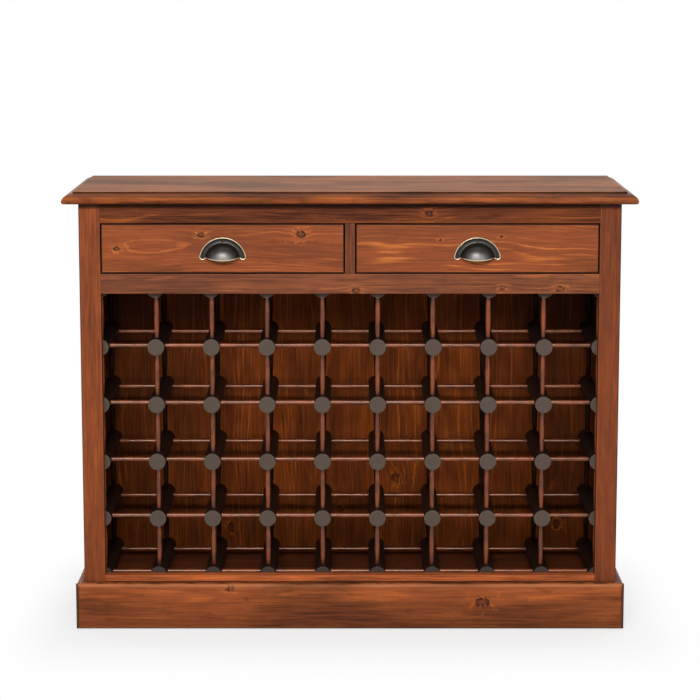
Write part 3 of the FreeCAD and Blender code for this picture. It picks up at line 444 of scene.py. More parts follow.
def pine(name, box, grain, across, pith, tones, knots=(), seed=0, **traits):
    """Pine with its grain along one axis. pith is its place across and behind the board's middle.

    Of the traits, wander says how far the rings bend, clouds how patchy the stain is, lines how strong
    the hard bands are, and wear how much the edges are rubbed paler, over rub_reach; those paler edges are
    wear and a painted highlight. crease takes the coordinates of a point and says how dark it is there:
    dark wax in some corners, and painted shade in most.
    """
    traits = {**USUAL_TRAITS, **traits}
    material, shader, place = new_finish(name, Specular_IOR_Level=traits["gloss"])
    parts = place.split()
    through = next(axis for axis in AXES if axis not in (grain, across))
    low, high = box
    middle = {axis: (low[n] + high[n]) / 2 for n, axis in enumerate(AXES)}
    along, wide, deep = (parts[AXES.index(axis)] for axis in (grain, across, through))
    offset = tuple(step * seed for step in SEED_STEP)

    def drawn(long, cross, detail):
        return noise(place, [long if axis == grain else cross for axis in AXES], offset, detail)

    bend, patch, streak = drawn(*BEND), drawn(*PATCH), drawn(*STREAK)
    fibre, mottle = drawn(*FIBRE), drawn(*MOTTLE)
    sideways = wide - (middle[across] + pith[0])
    inward = deep - (middle[through] + pith[1])
    radius = (sideways * sideways + inward * inward) ** 0.5 + bend * traits["wander"]
    if knots:
        push, heart, outline, flame = knot_marks(knots, place, offset, along, wide, streak)
        radius = radius + push

    turn = (radius + streak * RING_WOBBLE) / RING_WIDTH
    ring = turn.math("FLOOR", turn)
    chance = {"W": ring + RING_SEED * seed}
    luck = Signal.make(place.tree, "ShaderNodeTexWhiteNoise", {"noise_dimensions": "1D"}, chance, "Value")
    band = turn - ring
    line = band.ease(0.6, 0.86) * band.fade(0.9, 1.0)
    strength = luck * luck * streak.ease(0.36, 0.62) * patch.ease(0.22, 0.6) + 0.07
    fine = fibre.ease(0.3, 0.7) * 0.57 + streak.ease(0.35, 0.7) * 0.43
    taken = patch.ease(0.34, 0.66) * traits["clouds"] + fine * (1 - traits["clouds"])
    colour = taken.blend(tones["soaked"], tones["plain"])
    colour = (line * strength * traits["lines"]).blend(colour, tones["line"])
    colour = (mottle.ease(0.54, 0.76) * 0.35).blend(colour, tones["soaked"])
    if knots:
        crack = noise(place, (KNOT_CRACKS,) * 3, offset[1:] + offset[:1], 2.0)
        colour = (flame * (line * 0.5 + 0.15)).blend(colour, tones["line"])
        colour = (heart * 0.7).blend(colour, tones["heart"])
        colour = (outline * crack.ease(0.36, 0.58)).blend(colour, tones["knot"])
    # Edges rubbed paler: wear, and a painted highlight where the edges catch the light.
    wear_and_edge_light = edge_nearness(parts, low, high).fade(0.3 * MM, traits["rub_reach"])
    wear_and_edge_light = wear_and_edge_light * patch.ease(0.3, 0.6) * traits["wear"]
    colour = wear_and_edge_light.blend(colour, tones["worn"])
    if traits["crease"]:
        # Dark corners: dark wax and painted shade.
        colour = (traits["crease"](*parts) * WAX_AND_SHADE_COVER).blend(colour, WAX_AND_SHADE_DARK)
    roughness = traits["roughness"] - line * 0.1 + (fibre - 0.5) * 0.16 - wear_and_edge_light * 0.08
    link_looks(shader, colour, roughness, line * 0.4 + fibre * 0.6, GRAIN_DEPTH, 0.5)
    return material


print("ring width", round(RING_WIDTH / MM, 1), "mm")

# %% [markdown]
# ## Painted shade and dark wax
# The corners are painted darker: on the eased edges beside a gap and a little way into it, under the top, in
# the moulding's hollow and underside, at the foot of the moulding's step, where the plinth meets the frame,
# and on the plinth's corners and foot. Dark wax, rubbed over the stain and wiped off, stays in some of these
# corners, but most of the darkening is painted shade. It draws the thin dark lines that make joinery read as
# separate boards. Ambient occlusion could find the corners, but it would change whenever a drawer is pulled
# out, and a painted mark doesn't. So each kind of board has a function that measures how far a point is from
# such a corner and says how dark it is painted there.

# %% Painted shade in the frame
FRAME_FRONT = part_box("left_stile")[0].y
FRAME_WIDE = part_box("right_side_panel")[1].x
TOP_LOW, TOP_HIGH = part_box("top_board")
GAP_REACH = (2.5 * MM, 5.5 * MM)


def gap_edges(x, y, z):
    """Painted shade on the eased edges of the frame and a little way into the gaps, on its outer corners,
    and in the corner under the top.
    """
    behind = y - FRAME_FRONT
    from_side = FRAME_WIDE - abs(x)
    shallow = behind.fade(1 * MM, 2.5 * MM)
    inner = behind.fade(*GAP_REACH) * from_side.ease(3 * MM, 6 * MM)
    edges = behind.ease(0.0, 0.4 * MM) * inner.most(shallow)
    corners = from_side.fade(0.8 * MM, 2.5 * MM) * shallow * 0.8
    under_top = (TOP_LOW.z - z).fade(4 * MM, 11 * MM) * 0.9
    return edges.most(corners).most(under_top)


def drawer_rim(node):
    """The gap edges of a drawer front, with a thin dark rim round it, all painted shade at the gap."""
    low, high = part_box(node)
    middle = (low + high) / 2

    def rim(x, y, z):
        inset = (high.x - middle.x - abs(x - middle.x)).least(high.z - middle.z - abs(z - middle.z))
        near_face = (y - FRAME_FRONT).fade(*GAP_REACH)
        return gap_edges(x, y, z).most(inset.fade(1.3 * MM, 2.2 * MM) * near_face)

    return rim


print("frame front at", round(FRAME_FRONT / MM), "mm, half width", round(FRAME_WIDE / MM), "mm")

# %% Painted shade and wax on the top and the plinth
STEP_INSET = 21 * MM
PLINTH_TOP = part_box("plinth_front")[1].z
WAX_PATCHES = 22.0
FOOT_SHADE_RAGGED = 24 * MM


def step_corner(x, y, z):
    """Darker at the foot of the small step round the top, which is dark wax and painted shade, and in the
    round before it and on the underside, which is painted shade.
    """
    inset = (TOP_HIGH.x - abs(x)).least(y - TOP_LOW.y)
    corner = abs(inset - STEP_INSET).fade(0.7 * MM, 1.8 * MM)
    hollow = inset.ease(2.2 * MM, 6.5 * MM) * inset.fade(STEP_INSET, STEP_INSET + 1.5 * MM) * 0.66
    upper = corner.most(hollow) * (TOP_HIGH.z - z).ease(0.4 * MM, 1.4 * MM)
    height = z - TOP_LOW.z
    lower = (height.fade(1 * MM, 4.5 * MM) * 0.8).most(height.fade(6 * MM, 10 * MM) * 0.18)
    return upper.most(lower)


def plinth_corner(x, y, z):
    """Darker where the plinth meets the frame and in patches along its ledge, which is dark wax and painted
    shade, and on its corners and along its foot, which is painted shade.
    """
    out = (abs(x) - FRAME_WIDE).most(FRAME_FRONT - y)
    sockets = {"W": (x + y) * WAX_PATCHES, "Scale": 1.0, "Detail": 3.0}
    # Noise for the patches along the ledge and for the ragged edge of the painted shade above the foot.
    wax = Signal.make(x.tree, "ShaderNodeTexNoise", {"noise_dimensions": "1D"}, sockets)
    inner = out.fade(3 * MM, 7 * MM).most(out.fade(9 * MM, 14 * MM) * wax.ease(0.46, 0.6) * 0.65)
    ledge = inner * (PLINTH_TOP - z).fade(1 * MM, 3 * MM)
    corners = (FOOT_WIDE - abs(x) + (y + FOOT_DEEP)).fade(5.5 * MM, 9 * MM) * 0.85
    ragged = z + (wax - 0.5) * FOOT_SHADE_RAGGED
    painted_foot_shade = (ragged.fade(60 * MM, 70 * MM) * 0.2).most(ragged.fade(14 * MM, 42 * MM) * 0.36)
    foot = z.fade(2.5 * MM, 5.5 * MM) * 0.9
    return ledge.most(corners).most(foot).most(painted_foot_shade)


def rail_foot(x, y, z):
    """Painted shade along the lower edge of the bottom rail, where it meets the plinth."""
    return (z - PLINTH_TOP).fade(0.5 * MM, 2.5 * MM)


print("plinth top at", round(PLINTH_TOP / MM), "mm, step inset", round(STEP_INSET / MM), "mm")

# %% [markdown]
# ## The boards
# Each board comes from its own tree, so each gets its own pith and its own slice of the noise. The grain
# runs the long way of a board: along the rails, up the stiles and the back. The knots sit where this
# cabinet has them. One table holds the boards and another what is special about some of them, so that one
# loop can dress them all.

# %% Face frame, top and plinth
# Each board: its grain, the way across it, its pith, its stains, and its knots (along, across, radius).
STAINED_BOARDS = (
    ("top_board", "x", "y", (0.03, -0.05), TOP_BROWN, ()),
    ("left_side_panel", "z", "y", (0.05, 0.06), RED_BROWN, ((0.32, 0.06, 0.008), (0.66, -0.07, 0.006))),
    ("right_side_panel", "z", "y", (-0.04, -0.06), RED_BROWN, ((0.52, -0.05, 0.008), (0.24, 0.08, 0.006))),
    ("bottom_shelf", "x", "y", (0.02, -0.05), SHELF_DARK, ()),
    ("dust_panel", "x", "y", (-0.03, 0.05), RED_BROWN, ()),
    ("top_rail", "x", "z", (-0.03, 0.03), SHADOW_BROWN, ((0.158, 0.8555, 0.005),)),
    ("drawer_rail", "x", "z", (0.02, 0.04), RAIL_BROWN,
     ((0.012, 0.699, 0.005), (0.307, 0.705, 0.004), (0.422, 0.703, 0.005))),
    ("bottom_rail", "x", "z", (0.03, 0.03), FOOT_BROWN, ()),
    ("left_stile", "z", "x", (0.02, 0.05), LEFT_STILE_BROWN, ()),
    ("right_stile", "z", "x", (-0.015, 0.06), RIGHT_STILE_BROWN, ()),
    ("drawer_muntin", "z", "x", (0.004, 0.02), MUNTIN_BROWN, ()),
    ("plinth_front", "x", "z", (0.02, 0.05), PLINTH_BROWN, ((-0.243, 0.088, 0.005), (0.271, 0.059, 0.009))),
    ("plinth_left", "y", "z", (0.01, 0.05), PLINTH_BROWN, ()),
    ("plinth_right", "y", "z", (-0.02, -0.05), PLINTH_BROWN, ()),
    ("left_drawer_front", "x", "z", (0.0, 0.035), DRAWER_ORANGE,
     ((-0.468, 0.784, 0.004), (-0.299, 0.813, 0.004), (-0.0985, 0.813, 0.006))),
    ("right_drawer_front", "x", "z", (-0.012, 0.03), DRAWER_ORANGE,
     ((0.181, 0.802, 0.002), (0.303, 0.808, 0.002))),
)
STRAIGHT_GRAIN = 0.035
PLINTH_TRAITS = {"crease": plinth_corner, "gloss": 0.12, "lines": 0.5, "clouds": 0.5}
BOARD_TRAITS = {
    "top_board": {"crease": step_corner, "gloss": 0.05, "clouds": 0.5, "wear": 0.1},
    "top_rail": {"crease": gap_edges, "gloss": 0.08},
    "bottom_rail": {"crease": rail_foot},
    # The wide rubbed top edge of the plinth: wear, and a painted highlight along its round.
    "plinth_front": {**PLINTH_TRAITS, "wear": 0.62, "rub_reach": 8 * MM},
    "plinth_left": PLINTH_TRAITS,
    "plinth_right": PLINTH_TRAITS,
}
for node in ("drawer_rail", "left_stile", "right_stile", "drawer_muntin"):
    BOARD_TRAITS[node] = {"crease": gap_edges}
for node in ("left_drawer_front", "right_drawer_front"):
    BOARD_TRAITS[node] = {"crease": drawer_rim(node), "wander": 0.06, "clouds": 0.4}
for seed, (node, grain, across, pith, tones, knots) in enumerate(STAINED_BOARDS, start=1):
    traits = {"wander": STRAIGHT_GRAIN, **BOARD_TRAITS.get(node, {})}
    dress(node, pine(f"{node} pine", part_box(node), grain, across, pith, tones, knots, seed, **traits))
print("stained boards:", len(STAINED_BOARDS))

# %% [markdown]
# ## The back
# Nine narrow boards close the back. They took a more golden stain than the front. Their inner face is
# painted darker towards the ends and the foot, which is painted shade, and that darkens the outer cells of
# the rack. Weaker lamps could darken them too, but would dim the rods in front as well. The outer face of
# the back took the stain evenly.

# %% Back boards
BACK_BOARDS = 9
BACK_SEED = 20
BACK_KNOTS = {
    3: ((0.13, -0.261, 0.006),),
    5: ((0.171, -0.02, 0.006),),
    6: ((0.241, 0.099, 0.007),),
    9: ((0.138, 0.45, 0.006),),
}
INSIDE_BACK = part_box("back_board_5")[0].y


def painted_back_shade(x, y, z):
    """Painted shade at the ends and the foot of the back, on its inner face."""
    ends = abs(x).ease(0.2, 0.56) * 0.6
    foot = z.fade(0.1, 0.25) * 0.5
    return ends.most(foot) * (y - INSIDE_BACK).fade(1 * MM, 3 * MM)


BACK_TRAITS = {"gloss": 0.06, "lines": 0.8, "clouds": 0.4, "crease": painted_back_shade}
for number in range(1, BACK_BOARDS + 1):
    node = f"back_board_{number}"
    pith = (0.03 * (-1) ** number, 0.03 + 0.004 * number)
    knots = BACK_KNOTS.get(number, ())
    seed = BACK_SEED + number
    dress(node, pine(f"{node} pine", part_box(node), "z", "x", pith, BACK_GOLD, knots, seed, **BACK_TRAITS))
print("back boards:", BACK_BOARDS)

# %% [markdown]
# ## Bare wood
# What nobody sees in a shop is left unstained: the drawer boxes and the blocks and cleats inside. The same
# pine does it, with pale tones in which the hard lines are darker than the wood between them.

# %% Bare boards
BARE_SEED = 40
BARE_PITH = (0.02, 0.04)
INNER_BOARDS = (
    ("top_back_rail", "x", "z"),
    ("base_corner_blocks", "z", "x"),
    ("drawer_partition", "y", "z"),
    ("left_drawer_guide", "y", "z"),
    ("right_drawer_guide", "y", "z"),
    ("left_top_cleat", "y", "z"),
    ("right_top_cleat", "y", "z"),
    ("drawer_stops", "x", "y"),
)
DRAWER_BOARDS = (
    ("drawer_left_side", "y", "z"),
    ("drawer_right_side", "y", "z"),
    ("drawer_back", "x", "z"),
    ("drawer_bottom", "x", "y"),
)
bare_boards = list(INNER_BOARDS)
for side in ("left", "right"):
    bare_boards += [(f"{side}_{board}", grain, across) for board, grain, across in DRAWER_BOARDS]
for seed, (node, grain, across) in enumerate(bare_boards, start=BARE_SEED):
    dress(node, pine(f"{node} pine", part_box(node), grain, across, BARE_PITH, BARE_PINE, (), seed))
print("bare boards:", len(bare_boards))

# %% [markdown]
# ## The rack
# The rack is a lattice of cells with a thick dowel at every crossing. The dowels were stained before they
# were cut, and their sawn ends were sealed to a warm grey. Two materials could show that, but a row of
# dowels is one solid part with one material. So the sides and the ends are told apart by how far forward a
# point lies, and the cell round a point says which dowel it is on.

# %% Cells of the rack
COLUMN_PITCH = 112.6 * MM
ROW_PITCH = 118.6 * MM
FIRST_COLUMN = -506.7 * MM
FIRST_ROW = 105.2 * MM


def cell_step(part, first, pitch):
    """Which dowel a point belongs to, counted from the first, and how far it is from that dowel's axis."""
    count = (part - first) / pitch
    whole = count.math("ROUND", count)
    return whole, (count - whole) * pitch


def cell_luck(column, row):
    """A number from 0 to 1 for each cell."""
    cell = {"Vector": Signal.make(row.tree, "ShaderNodeCombineXYZ", sockets={0: column, 1: row})}
    return Signal.make(row.tree, "ShaderNodeTexWhiteNoise", {"noise_dimensions": "2D"}, cell, "Value")


print("cells are", round(COLUMN_PITCH / MM), "mm wide and", round(ROW_PITCH / MM), "mm tall")

# %% Dowels
DOWEL_FRONT = -134.5 * MM
DOWEL_REAR = 105.5 * MM
DOWEL_RING = 2.2 * MM
PITH_SPREAD, PITH_RISE = 60 * MM, 30 * MM
DOWEL_GRAIN = (420, 14, 420)
PORES = (900, 900, 900)
NO_OFFSET = (0, 0, 0)


def dowel_finish():
    """Dark stain along the sides. The grey ends show rings and pores, and a paler rim that is a painted
    highlight; the ends of the lowest row are darker, which is painted shade.
    """
    material, shader, place = new_finish("dowel stain", Specular_IOR_Level=0.2)
    x, y, z = place.split()
    column, off_x = cell_step(x, FIRST_COLUMN, COLUMN_PITCH)
    row, off_z = cell_step(z, FIRST_ROW, ROW_PITCH)
    chance = cell_luck(column, row)
    end = (y - DOWEL_FRONT).least(DOWEL_REAR - y).fade(0.2 * MM, 1.2 * MM)
    grain = noise(place, DOWEL_GRAIN, NO_OFFSET, 3.0)
    pores = noise(place, PORES, NO_OFFSET, 2.0)
    side_x = off_x + (chance - 0.5) * PITH_SPREAD
    side_z = off_z - PITH_RISE
    rings = (side_x * side_x + side_z * side_z) ** 0.5 / DOWEL_RING
    band = rings.math("FRACT", rings).ease(0.5, 1.0)
    from_axis = (off_x * off_x + off_z * off_z) ** 0.5
    bark = grain.ease(0.3, 0.75).blend(stain(13, 7, 5), stain(30, 17, 11))
    sawn = (band * 0.4 + pores * 0.6).blend(stain(68, 57, 49), stain(98, 84, 75))
    # A paler rim round each sawn end: a painted highlight.
    sawn = (from_axis.ease(14.8 * MM, 17 * MM) * 0.5).blend(sawn, stain(114, 100, 90))
    sawn = ((chance - 0.2) * 0.3).blend(sawn, stain(76, 62, 54))
    # The ends of the lowest row are darker: painted shade.
    sawn = (row.fade(0.0, 1.0) * 0.7).blend(sawn, stain(54, 44, 37))
    roughness = 0.5 + end * 0.12 + (grain - 0.5) * 0.2
    link_looks(shader, end.blend(bark, sawn), roughness, grain * (1.0 - end) + pores * end, 0.3 * MM, 0.5)
    return material


DOWEL_ROWS = 6
dowels = dowel_finish()
for number in range(1, DOWEL_ROWS + 1):
    dress(f"rack_dowels_row_{number}", dowels)
print("rows of dowels:", DOWEL_ROWS)

# %% [markdown]
# ## Rods and uprights
# Thin level rods and turned uprights join the dowels, in a front and a rear plane. They took the stain in
# patches, and no two have the same tone. Each could have a material of its own, but there are far too many.
# So noise that is cut into steps as wide as a cell gives each its tone. The rear uprights stand in deep
# shade; their darker tones are painted shade, and they are duller.

# %% Rods
ROD_TONES = (stain(76, 34, 16), stain(126, 58, 27), stain(162, 84, 42))
# The darker tones of the rear uprights: painted shade.
PAINTED_SHADE_ROD_TONES = (stain(20, 11, 8), stain(42, 23, 15), stain(64, 36, 24))
ROD_GLOSS, DARK_ROD_GLOSS = 0.8, 0.05
WARM_GLOSS = (1.0, 0.7, 0.56, 1.0)
GRAIN_ALONG, GRAIN_ACROSS = 16, 300
PATCH_ALONG, PATCH_ACROSS = 34, 60
PLANE_SEED, UPRIGHT_SEED = 31, 7


def rod_finish(name, along, tones, gloss, seed):
    """Thin rods along x or z. A rod is one cell long, so its tone changes from cell to cell."""
    material, shader, place = new_finish(name, Specular_IOR_Level=gloss, Specular_Tint=WARM_GLOSS)
    x, _, z = place.split()
    half_column, half_row = (COLUMN_PITCH / 2, 0.0) if along == "x" else (0.0, ROW_PITCH / 2)
    column, _ = cell_step(x, FIRST_COLUMN + half_column, COLUMN_PITCH)
    row, _ = cell_step(z, FIRST_ROW + half_row, ROW_PITCH)
    chance = cell_luck(column + seed, row)
    grain_stretch = [GRAIN_ALONG if axis == along else GRAIN_ACROSS for axis in AXES]
    patch_stretch = [PATCH_ALONG if axis == along else PATCH_ACROSS for axis in AXES]
    grain = noise(place, grain_stretch, (seed, 0, 0), 3.0)
    patch = noise(place, patch_stretch, (0, seed, 0), 2.0)
    colour = patch.ease(0.34, 0.66).blend(tones[0], tones[1])
    colour = (grain.ease(0.5, 0.8) * 0.55).blend(colour, tones[2])
    colour = ((chance - 0.3) * 0.4).most(0.0).blend(colour, tones[0])
    roughness = 0.24 + (patch - 0.5) * 0.12 + (grain - 0.5) * 0.08
    link_looks(shader, colour, roughness, grain, 0.1 * MM, 0.2)
    return material


for number, plane in enumerate(("front", "rear")):
    seed = number * PLANE_SEED
    level = rod_finish(f"{plane} level rods", "x", ROD_TONES, ROD_GLOSS, seed)
    upright_look = (ROD_TONES, ROD_GLOSS) if plane == "front" else (PAINTED_SHADE_ROD_TONES, DARK_ROD_GLOSS)
    upright = rod_finish(f"{plane} uprights", "z", *upright_look, seed + UPRIGHT_SEED)
    dress(f"rack_{plane}_cross_rods", level)
    dress(f"rack_{plane}_uprights", upright)
print("rack parts:", len([node for node in nodes if node.startswith("rack_")]))

# %% [markdown]
# ## Metal
# The handles are cast metal with a dark antique finish. Use has rubbed it off where fingers reach: on the
# front of the cup, along the lip and round the rim of the plate, down to a pale brass. The front of the cup
# is also paler from polish, which is partly a painted highlight. Noise alone doesn't know where fingers
# reach.
# So the pieces carry two attributes, one for the rubbed brass and one for the polish and painted highlight,
# set where the shape is made, and noise only breaks up their edges. The screws are plain metal with some
# grit.


# %% Metal finishes
def metal(name, dark, light, roughness):
    """Plain metal for screws."""
    material, shader, place = new_finish(name, Metallic=1.0)
    cloud = noise(place, (90, 90, 90), NO_OFFSET, 3.0)
    grit = noise(place, (900, 900, 900), NO_OFFSET, 2.0)
    colour = (cloud.ease(0.3, 0.7) * 0.7 + grit * 0.3).blend(dark, light)
    link_looks(shader, colour, roughness + (grit - 0.5) * 0.2, grit, 0.1 * MM, 0.4)
    return material


def antique_metal():
    """Dark cast metal, paler where hands polish it, which is also a painted highlight, and rubbed to brass
    along its edges.
    """
    material, shader, place = new_finish("antique pewter", Metallic=1.0)
    rubbed, polish_and_highlight = (
        Signal.make(place.tree, "ShaderNodeAttribute", {"attribute_name": name}, output="Fac")
        for name in ("rubbed", "polish_and_highlight")
    )
    cloud = noise(place, (110, 110, 110), NO_OFFSET, 3.0)
    grit = noise(place, (1300, 1300, 1300), NO_OFFSET, 2.0)
    colour = (cloud * 0.5 + grit * 0.5).blend(stain(36, 34, 33), stain(66, 63, 60))
    # The front of the cup is paler: polish, and a painted highlight.
    colour = (polish_and_highlight * (0.8 + cloud * 0.4)).blend(colour, stain(150, 146, 142))
    bare = (rubbed * (0.75 + cloud * 0.6)).ease(0.35, 0.75)
    colour = bare.blend(colour, stain(212, 196, 166))
    roughness = 0.42 - polish_and_highlight * 0.16 - bare * 0.08 + (grit - 0.5) * 0.16
    link_looks(shader, colour, roughness, cloud * 0.6 + grit * 0.4, 0.12 * MM, 0.5)
    return material


pewter = antique_metal()
bronze = metal("screw bronze", stain(38, 34, 31), stain(70, 63, 56), 0.45)
steel = metal("screw steel", stain(150, 148, 144), stain(190, 188, 184), 0.34)
dress("back_board_screws", steel)
dress("top_screws", steel)
print("metal finishes:", pewter.name, bronze.name, steel.name)

# %% [markdown]
# ## Plate of the cup handles
# Each drawer has a cup handle, and behind the cup lies a flat arched plate with a raised bead along its
# edges and round ends. A flat shape with bevelled edges would lose the bead. So one cross section is spun
# round the middle of the arch, and half of the section, spun round each foot, gives the round ends.

# %% Handle plate
ARCH = 41.3 * MM
FOOT_RISE = 8.9 * MM
FOOT_ANGLE = math.asin(FOOT_RISE / ARCH)
TOWARDS_VIEWER = Vector((0, -1, 0))
# Half of the cross section in millimetres: how far from its middle, and how far from the drawer front.
BEAD = (
    (0.0, 1.9), (4.5, 1.9), (4.8, 2.2), (5.3, 2.5), (5.8, 2.5),
    (6.2, 2.2), (6.5, 1.7), (6.5, 0.0), (0.0, 0.0),
)
ARCH_STEPS, FOOT_STEPS = 56, 18


def outward(angle):
    """The way out from the middle of the arch."""
    return Vector((math.cos(angle), 0, math.sin(angle)))


def section(mesh, points, centre, angle):
    """A chain of points across the plate, turned to an angle of the arch."""
    way = outward(angle)
    chain = [mesh.verts.new(centre + way * (s * MM) + TOWARDS_VIEWER * (h * MM)) for s, h in points]
    return chain + [mesh.edges.new(pair) for pair in zip(chain, chain[1:])]


def plate():
    """The arched plate, its arc's centre at the origin."""
    mesh = bmesh.new()
    mirrored = [(-s, h) for s, h in reversed(BEAD[1:-1])]
    outline = list(BEAD) + mirrored + [BEAD[0]]
    whole = section(mesh, outline, outward(FOOT_ANGLE) * ARCH, FOOT_ANGLE)
    sweep = math.pi - 2 * FOOT_ANGLE
    bmesh.ops.spin(mesh, geom=whole, cent=(0, 0, 0), axis=TOWARDS_VIEWER, angle=sweep, steps=ARCH_STEPS)
    for angle, turn in ((FOOT_ANGLE, -math.pi), (math.pi - FOOT_ANGLE, math.pi)):
        foot = outward(angle) * ARCH
        half = section(mesh, BEAD, foot, angle)
        bmesh.ops.spin(mesh, geom=half, cent=foot, axis=TOWARDS_VIEWER, angle=turn, steps=FOOT_STEPS)
    bmesh.ops.remove_doubles(mesh, verts=mesh.verts, dist=0.02 * MM)
    bmesh.ops.recalc_face_normals(mesh, faces=mesh.faces)
    return mesh


trial = plate()
print("plate:", len(trial.faces), "faces, open edges:", sum(edge.is_boundary for edge in trial.edges))
trial.free()

# %% [markdown]
# ## Cup of the handles
# The cup is a quarter of a hollow egg, open below for the fingers, and its lip dips at the front. It could
# be spun like the plate, but neither the egg nor the dip is round. So it starts as a sphere that two planes
# cut to a quarter. It is then pulled down at the front, stretched, and given a wall.

# %% Handle cup
CUP = Vector((34.2, 26.0, 29.5)) * MM
CUP_RIM = 7.4 * MM
LIP_DROP = 4.5 * MM
CUP_WALL = 2.0 * MM


def saw(mesh, place, direction, clear_outer=False):
    """Cuts a whole mesh along a plane, and gives back what lies on the cut."""
    everything = mesh.verts[:] + mesh.edges[:] + mesh.faces[:]
    return bmesh.ops.bisect_plane(
        mesh, geom=everything, plane_co=place, plane_no=direction, clear_outer=clear_outer
    )["geom_cut"]


def cup():
    """The hollow cup, on the plate of plate()."""
    mesh = bmesh.new()
    bmesh.ops.create_uvsphere(mesh, u_segments=72, v_segments=36, radius=1.0)
    for direction in ((0, 1, 0), (0, 0, -1)):
        saw(mesh, (0, 0, 0), direction, clear_outer=True)
    bmesh.ops.recalc_face_normals(mesh, faces=mesh.faces)
    for vert in mesh.verts:
        vert.co.z -= LIP_DROP / CUP.z * vert.co.y**2 * (1 - vert.co.z) ** 2
    bmesh.ops.scale(mesh, vec=CUP, verts=mesh.verts)
    bmesh.ops.translate(mesh, vec=(0, 0, CUP_RIM), verts=mesh.verts)
    bmesh.ops.solidify(mesh, geom=mesh.faces[:], thickness=CUP_WALL)
    return mesh


trial = cup()
print("cup:", len(trial.faces), "faces, open edges:", sum(edge.is_boundary for edge in trial.edges))
trial.free()

# %% [markdown]
# ## Marks of use on the handles
# Fingers polish the front of the cup, which is paler, partly a painted highlight, and have rubbed its lip
# and the bead of the plate down to the brass.
# The marks could be painted by hand, but the shape itself says where they lie: how far a point stands out,
# how high it is over the lip, and how far it is from the middle line of the plate. So each vertex keeps two
# numbers that the finish reads. The handles are then set on the drawers and move with them.

# %% Where use has rubbed the handle
PLATE_REACH = 2.6 * MM
BEAD_START = 4.6 * MM
BEAD_BACK = 1.0 * MM
LIP_BAND = 1.8 * MM
POLISH_AND_HIGHLIGHT_RISE = 17 * MM
POLISH_AND_HIGHLIGHT_START = 0.6


def off_arch(spot):
    """How far a point of the plate lies outside its middle line, which ends at the two feet."""
    foot = Vector((math.copysign(math.cos(FOOT_ANGLE), spot.x), 0, math.sin(FOOT_ANGLE))) * ARCH
    level = Vector((spot.x, 0, spot.z))
    if spot.z > foot.z or level.angle(foot, 0) == 0:
        return level.length - ARCH
    return (level - foot).length


def use_marks(spot):
    """How far a point of the handle is rubbed through, and how much polish and painted highlight it has."""
    reach = -spot.y
    if reach > PLATE_REACH:
        lip = CUP_RIM - LIP_DROP * min(1.0, reach / CUP.y) ** 2
        above_lip = spot.z - lip
        low = max(0.0, 1.0 - above_lip / POLISH_AND_HIGHLIGHT_RISE)
        out = max(0.0, reach / CUP.y - POLISH_AND_HIGHLIGHT_START) / (1 - POLISH_AND_HIGHLIGHT_START)
        return max(0.0, 1.0 - abs(above_lip) / LIP_BAND), out**2 * low
    on_bead = BEAD_BACK < reach < PLATE_REACH and off_arch(spot) > BEAD_START
    return float(on_bead), 0.0


def pour(part, whole):
    """Adds one bmesh to another."""
    spare = bpy.data.meshes.new("spare")
    part.to_mesh(spare)
    part.free()
    whole.from_mesh(spare)
    bpy.data.meshes.remove(spare)


def handle_casting(centre):
    """Plate and cup in one mesh, with the marks of use."""
    whole = bmesh.new()
    for make in (plate, cup):
        pour(make(), whole)
    rubbed = whole.verts.layers.float.new("rubbed")
    polish_and_highlight = whole.verts.layers.float.new("polish_and_highlight")
    for vert in whole.verts:
        vert[rubbed], vert[polish_and_highlight] = use_marks(vert.co)
    bmesh.ops.translate(whole, vec=centre, verts=whole.verts)
    return whole


print("rubbed at the front of the lip:", use_marks(Vector((0, -CUP.y, CUP_RIM - LIP_DROP)))[0])

# %% Set the handles on the drawers
HANDLE_X = 255.625 * MM
FACE_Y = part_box("left_drawer_front")[0].y
ARC_HEIGHT = 759.3 * MM
SHARP_ANGLE = math.radians(50)
SIDES = (("left", -1), ("right", 1))


def add_piece(name, mesh, material, body, slot, *replaced):
    """Turns a bmesh into a smooth-shaded piece that moves with a body and stands for solid parts."""
    piece = bpy.data.objects.new(name, bpy.data.meshes.new(name))
    for face in mesh.faces:
        face.smooth = True
    for edge in mesh.edges:
        edge.smooth = edge.calc_face_angle(0.0) < SHARP_ANGLE
    open_edges = sum(edge.is_boundary for edge in mesh.edges)
    mesh.to_mesh(piece.data)
    mesh.free()
    piece.data.materials.append(material)
    bpy.context.scene.collection.objects.link(piece)
    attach(piece, body)
    if replaced:
        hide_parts(*replaced)
    print(name, len(piece.data.polygons), "faces, open edges:", open_edges)
    return piece


for side, sign in SIDES:
    casting = handle_casting((sign * HANDLE_X, FACE_Y, ARC_HEIGHT))
    name = f"{side}_cup_handle_casting"
    add_piece(name, casting, pewter, f"{side}_drawer", "pewter", f"{side}_cup_handle")

# %% [markdown]
# ## Handle screws
# Three small round-headed screws hold each handle. Each is one profile spun full circle. A boolean could
# cut the slot, but it would need a second solid for every screw. So the head is cut along lines on both
# sides of the slot, and the strip between them is pushed down.

# %% Handle screws
# The profile in millimetres: radius, and height over the plate.
SCREW_PROFILE = (
    (0, 1.6), (1.2, 1.5), (2.2, 1.15), (2.9, 0.6), (3.2, 0.0), (1.5, 0.0), (1.5, -11.0), (0, -13.4)
)
SCREW_STEPS = 24
SLOT_HALF = 0.42 * MM
SLOT_FLOOR = 0.6 * MM
SLOT_CUTS = (-1.1, -1.0, 1.0, 1.1)
PLATE_FACE = 1.9 * MM


